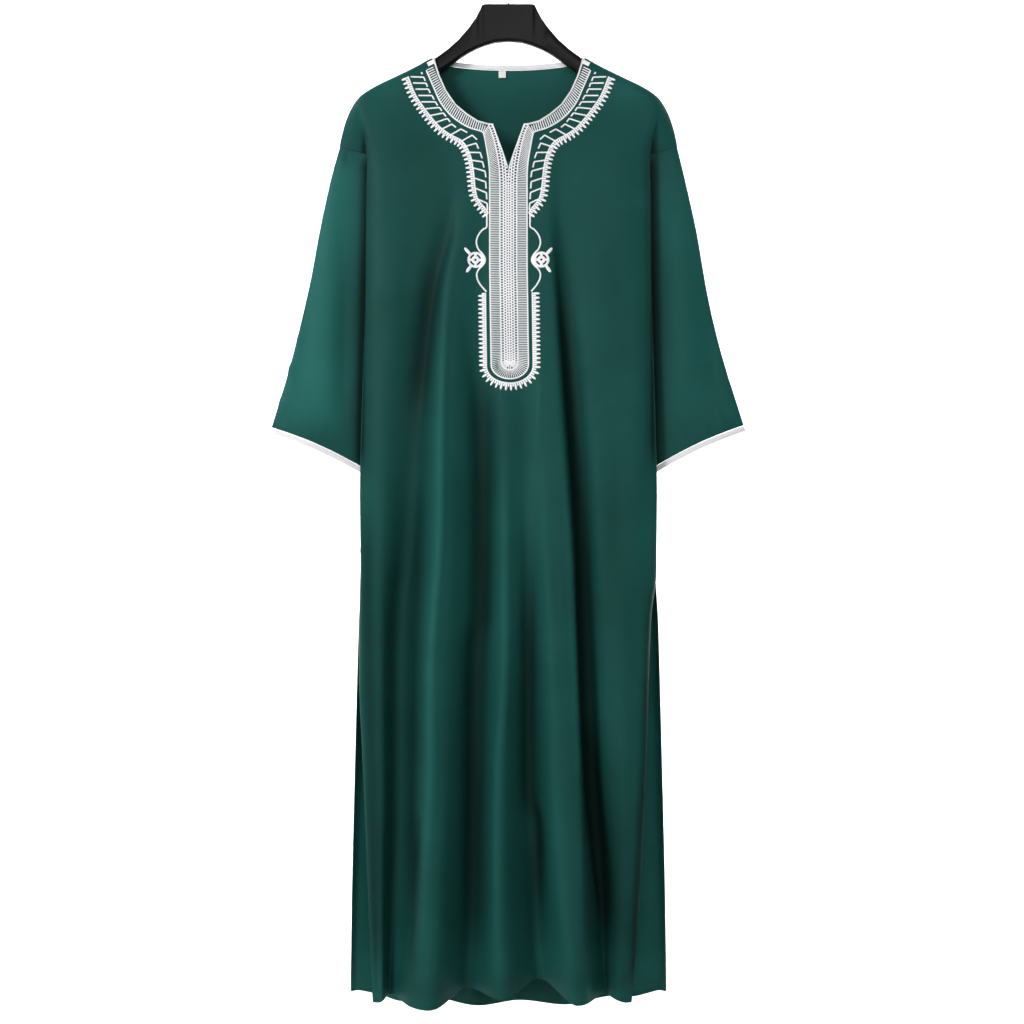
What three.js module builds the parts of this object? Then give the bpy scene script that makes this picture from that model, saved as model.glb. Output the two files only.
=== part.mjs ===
import * as THREE from "three";

// A long thobe with wide elbow-length sleeves, hanging on a broad shoulder hanger with a wire hook.
// Millimetres, +Z up, the garment's front towards -Y and its right-hand side in the view towards +X.
// The origin is the underside of the hook's crown, where a rail carries it.
// "drop" is the distance below the hanger's flat top, so it grows downwards.

// Driving sizes
const CLOTH = 1.5;
const SEAM_GAP = 0.4;
const HOOK = {
  wire: 3.8,
  crownRadius: 19,
  height: 54,
  seat: 0.3, // gap under the stem's foot
  stem: 5,
  neck: { x: 2, rise: 10 }, // where the stem starts to lean towards the crown
  turnFrom: -55,
  turnTo: 205,
  turnStep: 26,
  sides: 8,
  steps: 28,
};
const SHOULDER_START = 110; // half breadth of the neck hole at the shoulder seam
const NOTCH_HALF = 22; // half breadth of the notch at the neckline
const HANGER_REACH = 212; // half breadth where the cloth leaves the hanger's tip
const CAP_END = { x: 245, drop: 208 }; // top of the armhole seam
const YOKE_DROP = 265; // below this the rows of both panels are level
const UNDERARM_DROP = 437;
const SIDE_HEM_DROP = 1441;
const ROLL_DROP = 12; // the cloth turns from the shoulder line to the front within this drop
const PANEL_EDGE = 0.5; // front and back stop this far from the shoulder line
const ARM_ROWS = 4;
const SKIRT_ROWS = 18;
const PLEAT_STEPS = [0.25, 0.46, 0.65, 0.83, 1];
const PLEAT_BULGE_DEPTH = 0.14; // depth of the bulge, as a share of the way from the crease to the seam
const SEAM_TURN_ROWS = 6; // rows in which a sleeve's edge moves from above the panels to between them
const NORMAL_REACH = 2; // reach to either side when the front's slope is measured

const FINISHES = {
  cloth: { color: new THREE.Color(0.035, 0.125, 0.1), roughness: 0.5, metalness: 0 },
  white: { color: new THREE.Color(0.85, 0.84, 0.86), roughness: 0.7, metalness: 0 },
  plastic: { color: new THREE.Color(0.012, 0.012, 0.013), roughness: 0.4, metalness: 0 },
  steel: { color: new THREE.Color(0.6, 0.6, 0.62), roughness: 0.25, metalness: 1 },
};

// The shoulder line of the cloth, and of the bare hanger inside the neck: half breadth and drop.
const RIDGE = [
  { x: 0, drop: -2 },
  { x: 37, drop: -1 },
  { x: 47.6, drop: 18 },
  { x: 57.7, drop: 32 },
  { x: 72, drop: 48.7 },
  { x: 88, drop: 63 },
  { x: 107.4, drop: 75.6 },
  { x: 110, drop: 77.2 },
  { x: 125, drop: 86.4 },
  { x: 157, drop: 102.7 },
  { x: 185, drop: 115.8 },
  { x: 203, drop: 124.2 },
  { x: 212, drop: 131 },
];

// The outline of the shoulder cap, from the hanger's tip to the top of the armhole seam.
const CAP_OUTLINE = [
  { share: 0, x: 212, drop: 131 },
  { share: 0.2, x: 222, drop: 142 },
  { share: 0.4, x: 229, drop: 154 },
  { share: 0.6, x: 235, drop: 168 },
  { share: 0.8, x: 240.5, drop: 187 },
  { share: 1, x: 245, drop: 208 },
];

// The top edge of each panel: the neck cut, then the shoulder. Steps count from the centre column.
const FRONT_TOP = [
  { x: 0, drop: 240.5 },
  { x: 7, drop: 218.5 },
  { x: 15, drop: 197 },
  { x: 22, drop: 180.5 },
  { x: 31, drop: 179.5 },
  { x: 45, drop: 175.5 },
  { x: 61, drop: 165 },
  { x: 78, drop: 150.5 },
  { x: 92, drop: 130 },
  { x: 102, drop: 107.5 },
  { x: 107, drop: 91 },
  { x: 109.2, drop: 81.5 },
  { x: 110, drop: 77.2 },
  { x: 125, drop: 86.4 },
  { x: 145, drop: 96.8 },
  { x: 168, drop: 108 },
  { x: 190, drop: 118.1 },
  { x: 212, drop: 131 },
];
const BACK_TOP = [
  { x: 0, drop: 92 },
  { x: 22, drop: 91.6 },
  { x: 44, drop: 90.6 },
  { x: 66, drop: 89 },
  { x: 86, drop: 86.8 },
  { x: 99, drop: 84 },
  { x: 106.5, drop: 80.8 },
  { x: 109, drop: 78.6 },
  { x: 110, drop: 77.2 },
  { x: 125, drop: 86.4 },
  { x: 145, drop: 96.8 },
  { x: 168, drop: 108 },
  { x: 190, drop: 118.1 },
  { x: 212, drop: 131 },
];

// How far down each column the rows of the shoulder zone lie, as shares of its height to the yoke.
const SHOULDER_ROWS = [0, 0.009, 0.036, 0.075, 0.17, 0.33, 0.5, 0.67, 0.83, 1];

// The levels at which the fold tables give their places.
const LEVELS = [255, 430, 600, 775, 950, 1125, 1300, 1441];

// The front's ridges and valleys. "step" is the panel column that follows the fold, "x" its places
// and "y" its depths at the levels above, and "hem" the drop of the hem there.
const FRONT_FOLDS = [
  {
    name: "left side panel",
    step: -16,
    x: [-185, -184, -184, -184, -185, -184, -183, -181],
    y: [-30, -31, -32, -33, -32, -33, -34, -34],
    hem: 1438,
  },
  {
    name: "left valley",
    step: -12,
    x: [-82, -114, -133, -144, -156, -157, -166, -173],
    y: [-29.4, -25, -21, -18, -15, -12, -8, -4],
    hem: 1433,
  },
  {
    name: "left ridge, its sharp side",
    step: -9,
    x: [-60, -93, -101, -103, -114, -116, -125, -137],
    y: [-30.4, -35, -42, -47, -53, -59, -64, -62],
    hem: 1441,
  },
  {
    name: "left ridge, its crown",
    step: -8,
    x: [-52, -84, -92, -93, -101, -102, -107, -111],
    y: [-30.8, -36.5, -44, -50, -56, -63, -71, -76],
    hem: 1443,
  },
  {
    name: "second valley",
    step: -4,
    x: [-30, -38, -40, -41, -43, -47, -52, -58],
    y: [-29.6, -27, -24, -20, -16, -11, -6, -2],
    hem: 1423,
  },
  {
    name: "middle ridge",
    step: -1,
    x: [-9, -6, -5, -5, -8, -13, -15, -10],
    y: [-30.4, -33, -37, -42, -48, -54, -60, -64],
    hem: 1430,
  },
  {
    name: "third valley",
    step: 3,
    x: [25, 26, 28, 29, 30, 32, 42, 52],
    y: [-30.2, -31, -32, -31, -26, -16, -6, 2],
    hem: 1409,
  },
  {
    name: "right ridge, its crown",
    step: 5,
    x: [42, 46, 52, 58, 66, 71, 80, 92],
    y: [-30.8, -34.5, -39, -44, -50, -56, -62, -68],
    hem: 1437,
  },
  {
    name: "right ridge, its sharp side",
    step: 7,
    x: [60, 68, 76, 85, 92, 97, 104, 112],
    y: [-30.6, -34, -39, -43, -48, -53, -57, -56],
    hem: 1437,
  },
  {
    name: "right valley",
    step: 9,
    x: [72, 86, 97, 108, 115, 121, 132, 139],
    y: [-29.2, -23, -17, -12, -8, -5, -3, -2],
    hem: 1432,
  },
  {
    name: "right side panel, inner bound",
    step: 12,
    x: [108, 117, 125, 134, 140, 145, 152, 152],
    y: [-30, -29, -28, -27, -25, -24, -25, -24],
    hem: 1436,
  },
  {
    name: "right side panel",
    step: 15,
    x: [160, 162, 164, 166, 166, 166, 165, 161],
    y: [-31, -31.5, -31, -31, -31, -31, -31, -30],
    hem: 1439,
  },
];

// The back's folds, softer and set apart from those of the front.
const BACK_FOLDS = [
  {
    name: "left back panel",
    step: -12,
    x: [-184, -184, -184, -185, -187, -190, -192, -192],
    y: [48, 52, 55, 57, 58, 60, 62, 63],
    hem: 1450,
  },
  {
    name: "left back valley",
    step: -9,
    x: [-118, -126, -134, -142, -148, -152, -156, -158],
    y: [40, 42, 42, 41, 39, 37, 35, 34],
    hem: 1454,
  },
  {
    name: "left back ridge",
    step: -6,
    x: [-82, -88, -94, -98, -102, -104, -108, -112],
    y: [42, 49, 57, 64, 71, 77, 83, 87],
    hem: 1460,
  },
  {
    name: "middle back valley",
    step: -2,
    x: [-30, -31, -32, -33, -35, -38, -42, -46],
    y: [38, 41, 43, 43, 42, 40, 38, 37],
    hem: 1461,
  },
  {
    name: "middle back ridge",
    step: 2,
    x: [24, 24, 24, 24, 23, 22, 20, 18],
    y: [40, 46, 52, 58, 64, 70, 76, 80],
    hem: 1462,
  },
  {
    name: "right back valley",
    step: 5,
    x: [76, 78, 80, 82, 84, 85, 86, 86],
    y: [40, 42, 44, 45, 44, 42, 40, 38],
    hem: 1460,
  },
  {
    name: "right back ridge",
    step: 9,
    x: [128, 132, 136, 140, 144, 147, 150, 152],
    y: [44, 51, 57, 63, 69, 75, 80, 84],
    hem: 1457,
  },
  {
    name: "right back panel",
    step: 12,
    x: [182, 183, 184, 185, 187, 189, 191, 191],
    y: [46, 48, 49, 49, 49, 49, 50, 51],
    hem: 1450,
  },
];

// The side of a panel: where the cloth creases, how far it bulges out, and where it is sewn.
// Above the slit the cloth is turned in to a pleat; the rows after it follow the open slit.
const PLEAT = [
  { drop: 265, crease: 199, bulge: 226, seam: 150 },
  { drop: 437, crease: 200, bulge: 228, seam: 150.5 },
  { drop: 485, crease: 202, bulge: 230, seam: 152.5 },
  { drop: 600, crease: 205, bulge: 233, seam: 163 },
  { drop: 690, crease: 207, bulge: 235, seam: 170 },
  { drop: 765, crease: 206, bulge: 228, seam: 192 },
  { drop: 831, crease: 203, bulge: 219, seam: 213.5 },
];
const FRONT_LEFT_SIDE = [
  ...PLEAT,
  { drop: 880, crease: 203, bulge: 216.5, seam: 216 },
  { drop: 960, crease: 203, bulge: 213, seam: 216 },
  { drop: 1100, crease: 198, bulge: 206.5, seam: 209.5 },
  { drop: 1300, crease: 190, bulge: 198, seam: 201 },
  { drop: 1441, crease: 185, bulge: 192, seam: 195 },
];
const FRONT_RIGHT_SIDE = [
  ...PLEAT,
  { drop: 880, crease: 196, bulge: 207, seam: 207 },
  { drop: 960, crease: 192, bulge: 200, seam: 203 },
  { drop: 1100, crease: 186, bulge: 195, seam: 198 },
  { drop: 1300, crease: 177, bulge: 185, seam: 188 },
  { drop: 1441, crease: 167, bulge: 174, seam: 177 },
];
const BACK_SIDE = [
  ...PLEAT,
  { drop: 880, crease: 206, bulge: 219, seam: 217.5 },
  { drop: 960, crease: 209, bulge: 218, seam: 220.5 },
  { drop: 1100, crease: 212, bulge: 221.5, seam: 224.5 },
  { drop: 1300, crease: 217, bulge: 226.5, seam: 229.5 },
  { drop: 1441, crease: 219, bulge: 228.5, seam: 231.5 },
];

// Depths at the side, front and back: of the crease, and of the edge that is sewn or open.
const SIDE_DEPTHS = [
  { drop: 265, frontCrease: -24, front: 6, back: 28, backCrease: 42 },
  { drop: 437, frontCrease: -24, front: 12.8, back: 19.2, backCrease: 48 },
  { drop: 485, frontCrease: -23, front: 15.1, back: 16.9, backCrease: 49 },
  { drop: 690, frontCrease: -22, front: 15.1, back: 16.9, backCrease: 51 },
  { drop: 765, frontCrease: -22, front: 15.2, back: 16.8, backCrease: 50 },
  { drop: 831, frontCrease: -21, front: 15.6, back: 16.4, backCrease: 48 },
  { drop: 880, frontCrease: -21, front: 4, back: 22, backCrease: 47 },
  { drop: 960, frontCrease: -22, front: -8, back: 29, backCrease: 48 },
  { drop: 1100, frontCrease: -24, front: -16, back: 34, backCrease: 49 },
  { drop: 1300, frontCrease: -26, front: -20, back: 38, backCrease: 50 },
  { drop: 1441, frontCrease: -28, front: -24, back: 40, backCrease: 50 },
];

// The armhole seam down the cap: depth of the front and back edges at the rows of the shoulder zone.
const ARMHOLE_DEPTHS = [
  { front: -0.9, back: 0.9 },
  { front: -3, back: 3 },
  { front: -4.8, back: 5.2 },
  { front: -5.8, back: 7.5 },
  { front: -5, back: 12 },
  { front: -1.5, back: 18 },
  { front: 1.5, back: 22 },
  { front: 4, back: 25 },
  { front: 5.4, back: 27.2 },
  { front: 6, back: 28 },
];

// The upper edge of each sleeve, from the armhole to the cuff, and its under seam.
const SLEEVE_TOP_LEFT = [
  { drop: 208, x: 245 },
  { drop: 252, x: 258 },
  { drop: 317, x: 271 },
  { drop: 395, x: 286 },
  { drop: 465, x: 302 },
  { drop: 532, x: 319 },
  { drop: 613, x: 344 },
];
const SLEEVE_TOP_RIGHT = [
  { drop: 208, x: 245 },
  { drop: 256, x: 257 },
  { drop: 342, x: 275 },
  { drop: 420, x: 288.5 },
  { drop: 509, x: 309.5 },
  { drop: 558, x: 325 },
  { drop: 610, x: 341.5 },
];
const UNDER_SEAM = [
  { drop: 437, x: 151.5 },
  { drop: 480, x: 162 },
  { drop: 600, x: 175 },
  { drop: 688, x: 184 },
];
const SLEEVE_STEPS = 10;
const CUFF = {
  front: -15, // how far each layer bellies out of the flat
  back: 17,
  bellyPower: 0.8,
  underFlatter: 0.35, // share of the belly lost at the under seam
  rise: 7,
  innerDepth: 1.4,
  edgeDepth: 2,
  binding: 9,
};

// Hanger: drop of its top and underside, half depth, and how round its top is.
const HANGER = [
  { x: 0, top: 0, under: 54, half: 7.5, round: 2 },
  { x: 19, top: 0, under: 55.5, half: 7.5, round: 2 },
  { x: 34, top: 0, under: 59.8, half: 7.5, round: 2 },
  { x: 38.5, top: 1.5, under: 61.6, half: 7.5, round: 3 },
  { x: 42, top: 9.5, under: 63, half: 7.5, round: 4 },
  { x: 47.6, top: 19.9, under: 65.3, half: 7.6, round: 5 },
  { x: 57.7, top: 34, under: 70.5, half: 8, round: 6 },
  { x: 72, top: 50.5, under: 79.5, half: 8.6, round: 7 },
  { x: 88, top: 64.8, under: 91, half: 9.6, round: 8.5 },
  { x: 107.4, top: 78.8, under: 103.5, half: 11, round: 10 },
  { x: 125, top: 88.6, under: 114, half: 13, round: 10 },
  { x: 157, top: 104.5, under: 129.5, half: 15.8, round: 10.2 },
  { x: 185, top: 117.6, under: 141.5, half: 17.8, round: 10.2 },
  { x: 200, top: 126.2, under: 146.5, half: 16.8, round: 10 },
  { x: 206, top: 130.6, under: 146.5, half: 13, round: 8 },
  { x: 209, top: 134.5, under: 143, half: 8, round: 4.5 },
];
const HANGER_CORNER = 4;
const HANGER_TOP_ANGLES = [90, 60, 30, 0]; // the round of its top, from the middle out

// Half depth of the cloth over the hanger, front and back, from the neck out to the tip.
const SHOULDER_DEPTH = { neck: 12.2, tip: 20.5 };

// Neck and placket embroidery, lying on the front: half breadths of its inner and outer edge by drop.
const NECK_BAND = [
  { innerX: 105.5, innerDrop: 103, outerX: 117, outerDrop: 98 },
  { innerX: 94, innerDrop: 131.5, outerX: 104.5, outerDrop: 131.5 },
  { innerX: 79.5, innerDrop: 152.5, outerX: 90, outerDrop: 157 },
  { innerX: 62, innerDrop: 167.8, outerX: 70, outerDrop: 175.5 },
  { innerX: 45.8, innerDrop: 178.2, outerX: 50, outerDrop: 186 },
  { innerX: 31, innerDrop: 182.2, outerX: 37.5, outerDrop: 191 },
  { innerX: 24, innerDrop: 185, outerX: 34.2, outerDrop: 201 },
  { innerX: 16.8, innerDrop: 201, outerX: 31.2, outerDrop: 218 },
  { innerX: 9, innerDrop: 223, outerX: 28, outerDrop: 236 },
  { innerX: 0.5, innerDrop: 248, outerX: 27.2, outerDrop: 254 },
  { innerX: 0.5, innerDrop: 290, outerX: 27.2, outerDrop: 290 },
  { innerX: 0.5, innerDrop: 340, outerX: 27.2, outerDrop: 340 },
  { innerX: 0.5, innerDrop: 400, outerX: 27.2, outerDrop: 400 },
  { innerX: 0.5, innerDrop: 460, outerX: 27.2, outerDrop: 460 },
  { innerX: 0.5, innerDrop: 518, outerX: 27.2, outerDrop: 518 },
];
const PLACKET = { half: 27.2, centreGap: 0.5, straightEnd: 518, end: 545, arcSteps: 6 };

// The toothed border: the middle line of the neck's, each side, and of the U round the placket.
const NECK_BORDER = [
  { x: 146, drop: 117 },
  { x: 138, drop: 135 },
  { x: 122.5, drop: 160 },
  { x: 104, drop: 182 },
  { x: 88, drop: 194 },
  { x: 72.5, drop: 204 },
  { x: 64, drop: 214 },
  { x: 58.5, drop: 230 },
  { x: 55, drop: 250 },
  { x: 52.8, drop: 270 },
  { x: 48.5, drop: 287 },
  { x: 39, drop: 299.5 },
  { x: 34, drop: 306 },
];
const PLACKET_BORDER = {
  half: 39,
  top: 420,
  bottom: 520,
  roundness: 0.93, // the arc's depth as a share of its half breadth
  arcSteps: 12,
  straightShares: [0, 0.33, 0.67],
};

// The upper half of a medallion's outline: reach from its middle by degrees from the outward side.
const MEDALLION = { x: 47.8, drop: 374 };
const MEDALLION_OUTLINE = [
  { turn: 180, reach: 11 },
  { turn: 158, reach: 11 },
  { turn: 136, reach: 11 },
  { turn: 113, reach: 11 },
  { turn: 90, reach: 11 },
  { turn: 73, reach: 12 },
  { turn: 61, reach: 15.5 },
  { turn: 52, reach: 22 },
  { turn: 42, reach: 15 },
  { turn: 27, reach: 11.5 },
  { turn: 0, reach: 11 },
];

// Raised flat pieces: gap to the cloth, thickness, and columns across a band and a border.
const TRIM = { lift: 0.75, thickness: 0.9, bandColumns: 3, borderColumns: 2, borderWidth: 12 };

const LABEL = { x: -9.1, width: 10.5, length: 10, thickness: 0.8, below: 0.8 };
const NECK_BINDING = {
  front: 2.6,
  back: 7,
  widenSteps: 3, // columns of the back in which it grows to its full width
  thickness: 1.5,
  topGap: 0.8, // gap at the shoulder point, where it crosses both panels
  levelFrom: 0.25, // the gap widens as its normal turns up from here
  levelSpan: 0.5,
};

// Small helpers

const mix = (a, b, share) => a + (b - a) * share;
const within01 = (t) => Math.min(1, Math.max(0, t));
const ease = (t) => within01(t) ** 2 * (3 - 2 * within01(t));
const at = (x, y, drop) => new THREE.Vector3(x, y, -HOOK.height - drop);

// A smooth line through points (at, value) that never swings past them.
function lineThrough(places, values) {
  const n = places.length;
  const rise = [];
  for (let i = 0; i < n - 1; i++) rise.push((values[i + 1] - values[i]) / (places[i + 1] - places[i]));
  const slope = places.map((_, i) => {
    if (i === 0) return rise[0];
    if (i === n - 1) return rise[n - 2];
    const [before, after] = [rise[i - 1], rise[i]];
    return before * after > 0 ? (2 * before * after) / (before + after) : 0;
  });
  return (t) => {
    const place = Math.min(places[n - 1], Math.max(places[0], t));
    let i = 0;
    while (i < n - 2 && place > places[i + 1]) i++;
    const width = places[i + 1] - places[i];
    const s = (place - places[i]) / width;
    const low = values[i] * (1 + 2 * s) * (1 - s) ** 2 + slope[i] * width * s * (1 - s) ** 2;
    const high = values[i + 1] * s * s * (3 - 2 * s) + slope[i + 1] * width * s * s * (s - 1);
    return low + high;
  };
}

// The same from two columns of a table.
const follow = (table, along, value) =>
  lineThrough(
    table.map((row) => row[along]),
    table.map((row) => row[value]),
  );

// A mesh geometry from points and faces, with its faces turned outwards.
function closedGeometry(points, faces) {
  let volume = 0;
  const cross = new THREE.Vector3();
  for (const [a, b, c] of faces) volume += points[a].dot(cross.crossVectors(points[b], points[c]));
  const turned = volume < 0 ? faces.map(([a, b, c]) => [a, c, b]) : faces;
  const geometry = new THREE.BufferGeometry().setFromPoints(points);
  geometry.setIndex(turned.flat());
  geometry.computeVertexNormals();
  return geometry;
}

// The normal of a grid at one of its points, from the neighbours.
function gridNormal(grid, row, column, round) {
  const rows = grid.length;
  const columns = grid[0].length;
  const next = round ? (column + 1) % columns : Math.min(columns - 1, column + 1);
  const last = round ? (column + columns - 1) % columns : Math.max(0, column - 1);
  const across = grid[row][next].clone().sub(grid[row][last]);
  const down = grid[Math.min(rows - 1, row + 1)][column].clone().sub(grid[Math.max(0, row - 1)][column]);
  return across.cross(down).normalize();
}

// A cloth wall: a grid of points on its middle, given a thickness, with closed rims.
// A round grid joins its last column to its first, as a sleeve does.
function clothWall(grid, thickness, round = false) {
  const rows = grid.length;
  const columns = grid[0].length;
  const points = [];
  for (const side of [0.5, -0.5])
    for (let r = 0; r < rows; r++)
      for (let c = 0; c < columns; c++)
        points.push(grid[r][c].clone().addScaledVector(gridNormal(grid, r, c, round), side * thickness));
  const outer = (r, c) => r * columns + (c % columns);
  const inner = (r, c) => rows * columns + outer(r, c);
  const faces = [];
  const quad = (a, b, c, d) => faces.push([a, b, c], [a, c, d]);
  const spans = round ? columns : columns - 1;
  for (let r = 0; r < rows - 1; r++)
    for (let c = 0; c < spans; c++) {
      quad(outer(r, c), outer(r + 1, c), outer(r + 1, c + 1), outer(r, c + 1));
      quad(inner(r, c), inner(r, c + 1), inner(r + 1, c + 1), inner(r + 1, c));
    }
  for (let c = 0; c < spans; c++) {
    quad(outer(0, c), outer(0, c + 1), inner(0, c + 1), inner(0, c));
    quad(outer(rows - 1, c + 1), outer(rows - 1, c), inner(rows - 1, c), inner(rows - 1, c + 1));
  }
  const last = columns - 1;
  if (!round)
    for (let r = 0; r < rows - 1; r++) {
      quad(outer(r + 1, 0), outer(r, 0), inner(r, 0), inner(r + 1, 0));
      quad(outer(r, last), outer(r + 1, last), inner(r + 1, last), inner(r, last));
    }
  return closedGeometry(points, faces);
}

// A solid through rings of points, closed by a flat fan at each end.
function loft(rings) {
  const sides = rings[0].length;
  const points = rings.flat();
  const faces = [];
  for (let i = 0; i < rings.length - 1; i++)
    for (let j = 0; j < sides; j++) {
      const k = (j + 1) % sides;
      faces.push([i * sides + j, i * sides + k, (i + 1) * sides + k]);
      faces.push([i * sides + j, (i + 1) * sides + k, (i + 1) * sides + j]);
    }
  const end = (rings.length - 1) * sides;
  for (let j = 1; j < sides - 1; j++) {
    faces.push([0, j + 1, j]);
    faces.push([end, end + j, end + j + 1]);
  }
  return closedGeometry(points, faces);
}

// The cloth's depth as a height field

const ridgeDrop = follow(RIDGE, "x", "drop");
const sideDepth = {
  frontCrease: follow(SIDE_DEPTHS, "drop", "frontCrease"),
  front: follow(SIDE_DEPTHS, "drop", "front"),
  back: follow(SIDE_DEPTHS, "drop", "back"),
  backCrease: follow(SIDE_DEPTHS, "drop", "backCrease"),
};

// What a panel is made from: its side of the body, folds, top edge and side tables.
function panel(facing, folds, top, leftSide, rightSide) {
  const line = (side, column) => follow(side, "drop", column);
  const creaseDepth = facing < 0 ? sideDepth.frontCrease : sideDepth.backCrease;
  const edges = [leftSide, rightSide].map((side) => ({
    crease: line(side, "crease"),
    bulge: line(side, "bulge"),
    seam: line(side, "seam"),
  }));
  const last = top.length - 1;
  const tracks = folds.map((fold) => ({
    step: fold.step,
    x: lineThrough(LEVELS, fold.x),
    y: lineThrough(LEVELS, fold.y),
    hem: fold.hem,
  }));
  const [left, right] = edges;
  const first = { step: -last, x: (d) => -left.crease(d), y: creaseDepth, hem: SIDE_HEM_DROP };
  const final = { step: last, x: right.crease, y: creaseDepth, hem: SIDE_HEM_DROP };
  return { facing, top, last, edges, tracks: [first, ...tracks, final] };
}

const FRONT = panel(-1, FRONT_FOLDS, FRONT_TOP, FRONT_LEFT_SIDE, FRONT_RIGHT_SIDE);
const BACK = panel(1, BACK_FOLDS, BACK_TOP, BACK_SIDE, BACK_SIDE);

// Depth of a panel between its side creases, by its ridges and valleys at that drop.
function foldDepth(cloth, x, drop) {
  const places = cloth.tracks.map((track) => track.x(drop));
  const depths = cloth.tracks.map((track) => track.y(drop));
  return lineThrough(places, depths)(x);
}

// Depth of a panel anywhere between its side creases: over the hanger, and down into the folds.
function depthAt(cloth, x, drop) {
  const reach = within01(Math.abs(x) / HANGER_REACH);
  const half = mix(SHOULDER_DEPTH.neck, SHOULDER_DEPTH.tip, reach);
  const below = Math.max(0, drop - ridgeDrop(Math.abs(x)));
  const turn = Math.sqrt(1 - (1 - within01(below / ROLL_DROP)) ** 2);
  const rolled = cloth.facing * (PANEL_EDGE + (half - PANEL_EDGE) * turn);
  const hang = ease((below - ROLL_DROP) / (YOKE_DROP - ROLL_DROP - ridgeDrop(Math.abs(x))));
  return mix(rolled, foldDepth(cloth, x, Math.max(drop, LEVELS[0])), hang);
}

// Place across the panel of one of its columns at a drop, between the two folds beside it.
function columnX(cloth, step, drop) {
  const { tracks } = cloth;
  let i = 0;
  while (i < tracks.length - 2 && step > tracks[i + 1].step) i++;
  const [a, b] = [tracks[i], tracks[i + 1]];
  return mix(a.x(drop), b.x(drop), (step - a.step) / (b.step - a.step));
}

// The hem's drop at one of the columns.
const hemDrop = (cloth) =>
  lineThrough(
    cloth.tracks.map((track) => track.step),
    cloth.tracks.map((track) => track.hem),
  );

// Drops of the level rows, from the yoke to a column's hem.
function levelDrops(hem) {
  const drops = [];
  for (let i = 1; i <= ARM_ROWS; i++) drops.push(mix(YOKE_DROP, UNDERARM_DROP, i / ARM_ROWS));
  for (let i = 1; i <= SKIRT_ROWS; i++) drops.push(mix(UNDERARM_DROP, hem, i / SKIRT_ROWS));
  return drops;
}

// One column of a panel between its side creases, from the top edge to the hem.
function bodyColumn(cloth, step) {
  const start = cloth.top[Math.abs(step)];
  const side = Math.sign(step);
  const points = SHOULDER_ROWS.map((share) => {
    const drop = mix(start.drop, YOKE_DROP, share);
    const x = mix(side * start.x, columnX(cloth, step, YOKE_DROP), ease(share));
    return at(x, depthAt(cloth, x, drop), drop);
  });
  for (const drop of levelDrops(hemDrop(cloth)(step))) {
    const x = columnX(cloth, step, drop);
    points.push(at(x, depthAt(cloth, x, drop), drop));
  }
  return points;
}

// A point of the side pleat at a drop: the share runs from the crease to the seam.
function pleatPoint(cloth, side, share, drop) {
  const edge = cloth.edges[side < 0 ? 0 : 1];
  const front = cloth.facing < 0;
  const creaseY = (front ? sideDepth.frontCrease : sideDepth.backCrease)(drop);
  const seamY = (front ? sideDepth.front : sideDepth.back)(drop);
  const bulgeY = mix(creaseY, seamY, PLEAT_BULGE_DEPTH);
  const [a, b, c] = [(1 - share) ** 2, 2 * share * (1 - share), share ** 2];
  const x = side * (a * edge.crease(drop) + b * edge.bulge(drop) + c * edge.seam(drop));
  return at(x, a * creaseY + b * bulgeY + c * seamY, drop);
}

// The armhole seam on the cap: it runs level from the outline and then down into the pleat.
function armholePoint(cloth, side, row) {
  const share = SHOULDER_ROWS[row];
  const x = PLEAT[0].seam + (CAP_END.x - PLEAT[0].seam) * (1 - share) ** 3;
  const y = cloth.facing < 0 ? ARMHOLE_DEPTHS[row].front : ARMHOLE_DEPTHS[row].back;
  return at(side * x, y, mix(CAP_END.drop, YOKE_DROP, share));
}

const capX = follow(CAP_OUTLINE, "share", "x");
const capDrop = follow(CAP_OUTLINE, "share", "drop");

// A patch between four edges that meet at its corners, at shares u across and v down.
function patch(u, v, top, bottom, start, end, corners) {
  const point = new THREE.Vector3();
  point.addScaledVector(top, 1 - v).addScaledVector(bottom, v);
  point.addScaledVector(start, 1 - u).addScaledVector(end, u);
  point.addScaledVector(corners[0], -(1 - u) * (1 - v)).addScaledVector(corners[1], -u * (1 - v));
  point.addScaledVector(corners[2], -(1 - u) * v).addScaledVector(corners[3], -u * v);
  return point;
}

// One column of a panel beyond the crease: the shoulder cap, then the pleat and the slit's edge.
function sideColumn(cloth, side, index, crease) {
  const across = (index + 1) / PLEAT_STEPS.length;
  const edge = mix(PANEL_EDGE, ARMHOLE_DEPTHS[0].back, across);
  const top = at(side * capX(across), cloth.facing * edge, capDrop(across));
  const bottom = pleatPoint(cloth, side, PLEAT_STEPS[index], YOKE_DROP);
  const last = SHOULDER_ROWS.length - 1;
  const corners = [
    crease[0],
    armholePoint(cloth, side, 0),
    crease[last],
    armholePoint(cloth, side, last),
  ];
  const points = SHOULDER_ROWS.map((share, row) =>
    patch(across, share, top, bottom, crease[row], armholePoint(cloth, side, row), corners),
  );
  for (const drop of levelDrops(SIDE_HEM_DROP))
    points.push(pleatPoint(cloth, side, PLEAT_STEPS[index], drop));
  return points;
}

// The whole grid of a panel, as rows from the top edge to the hem.
function panelGrid(cloth) {
  const columns = [];
  for (let step = -cloth.last; step <= cloth.last; step++) columns.push(bodyColumn(cloth, step));
  const leftCrease = columns[0];
  const rightCrease = columns[columns.length - 1];
  PLEAT_STEPS.forEach((_, index) => {
    columns.unshift(sideColumn(cloth, -1, index, leftCrease));
    columns.push(sideColumn(cloth, 1, index, rightCrease));
  });
  return columns[0].map((_, row) => columns.map((column) => column[row]));
}

// Sleeves

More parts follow.
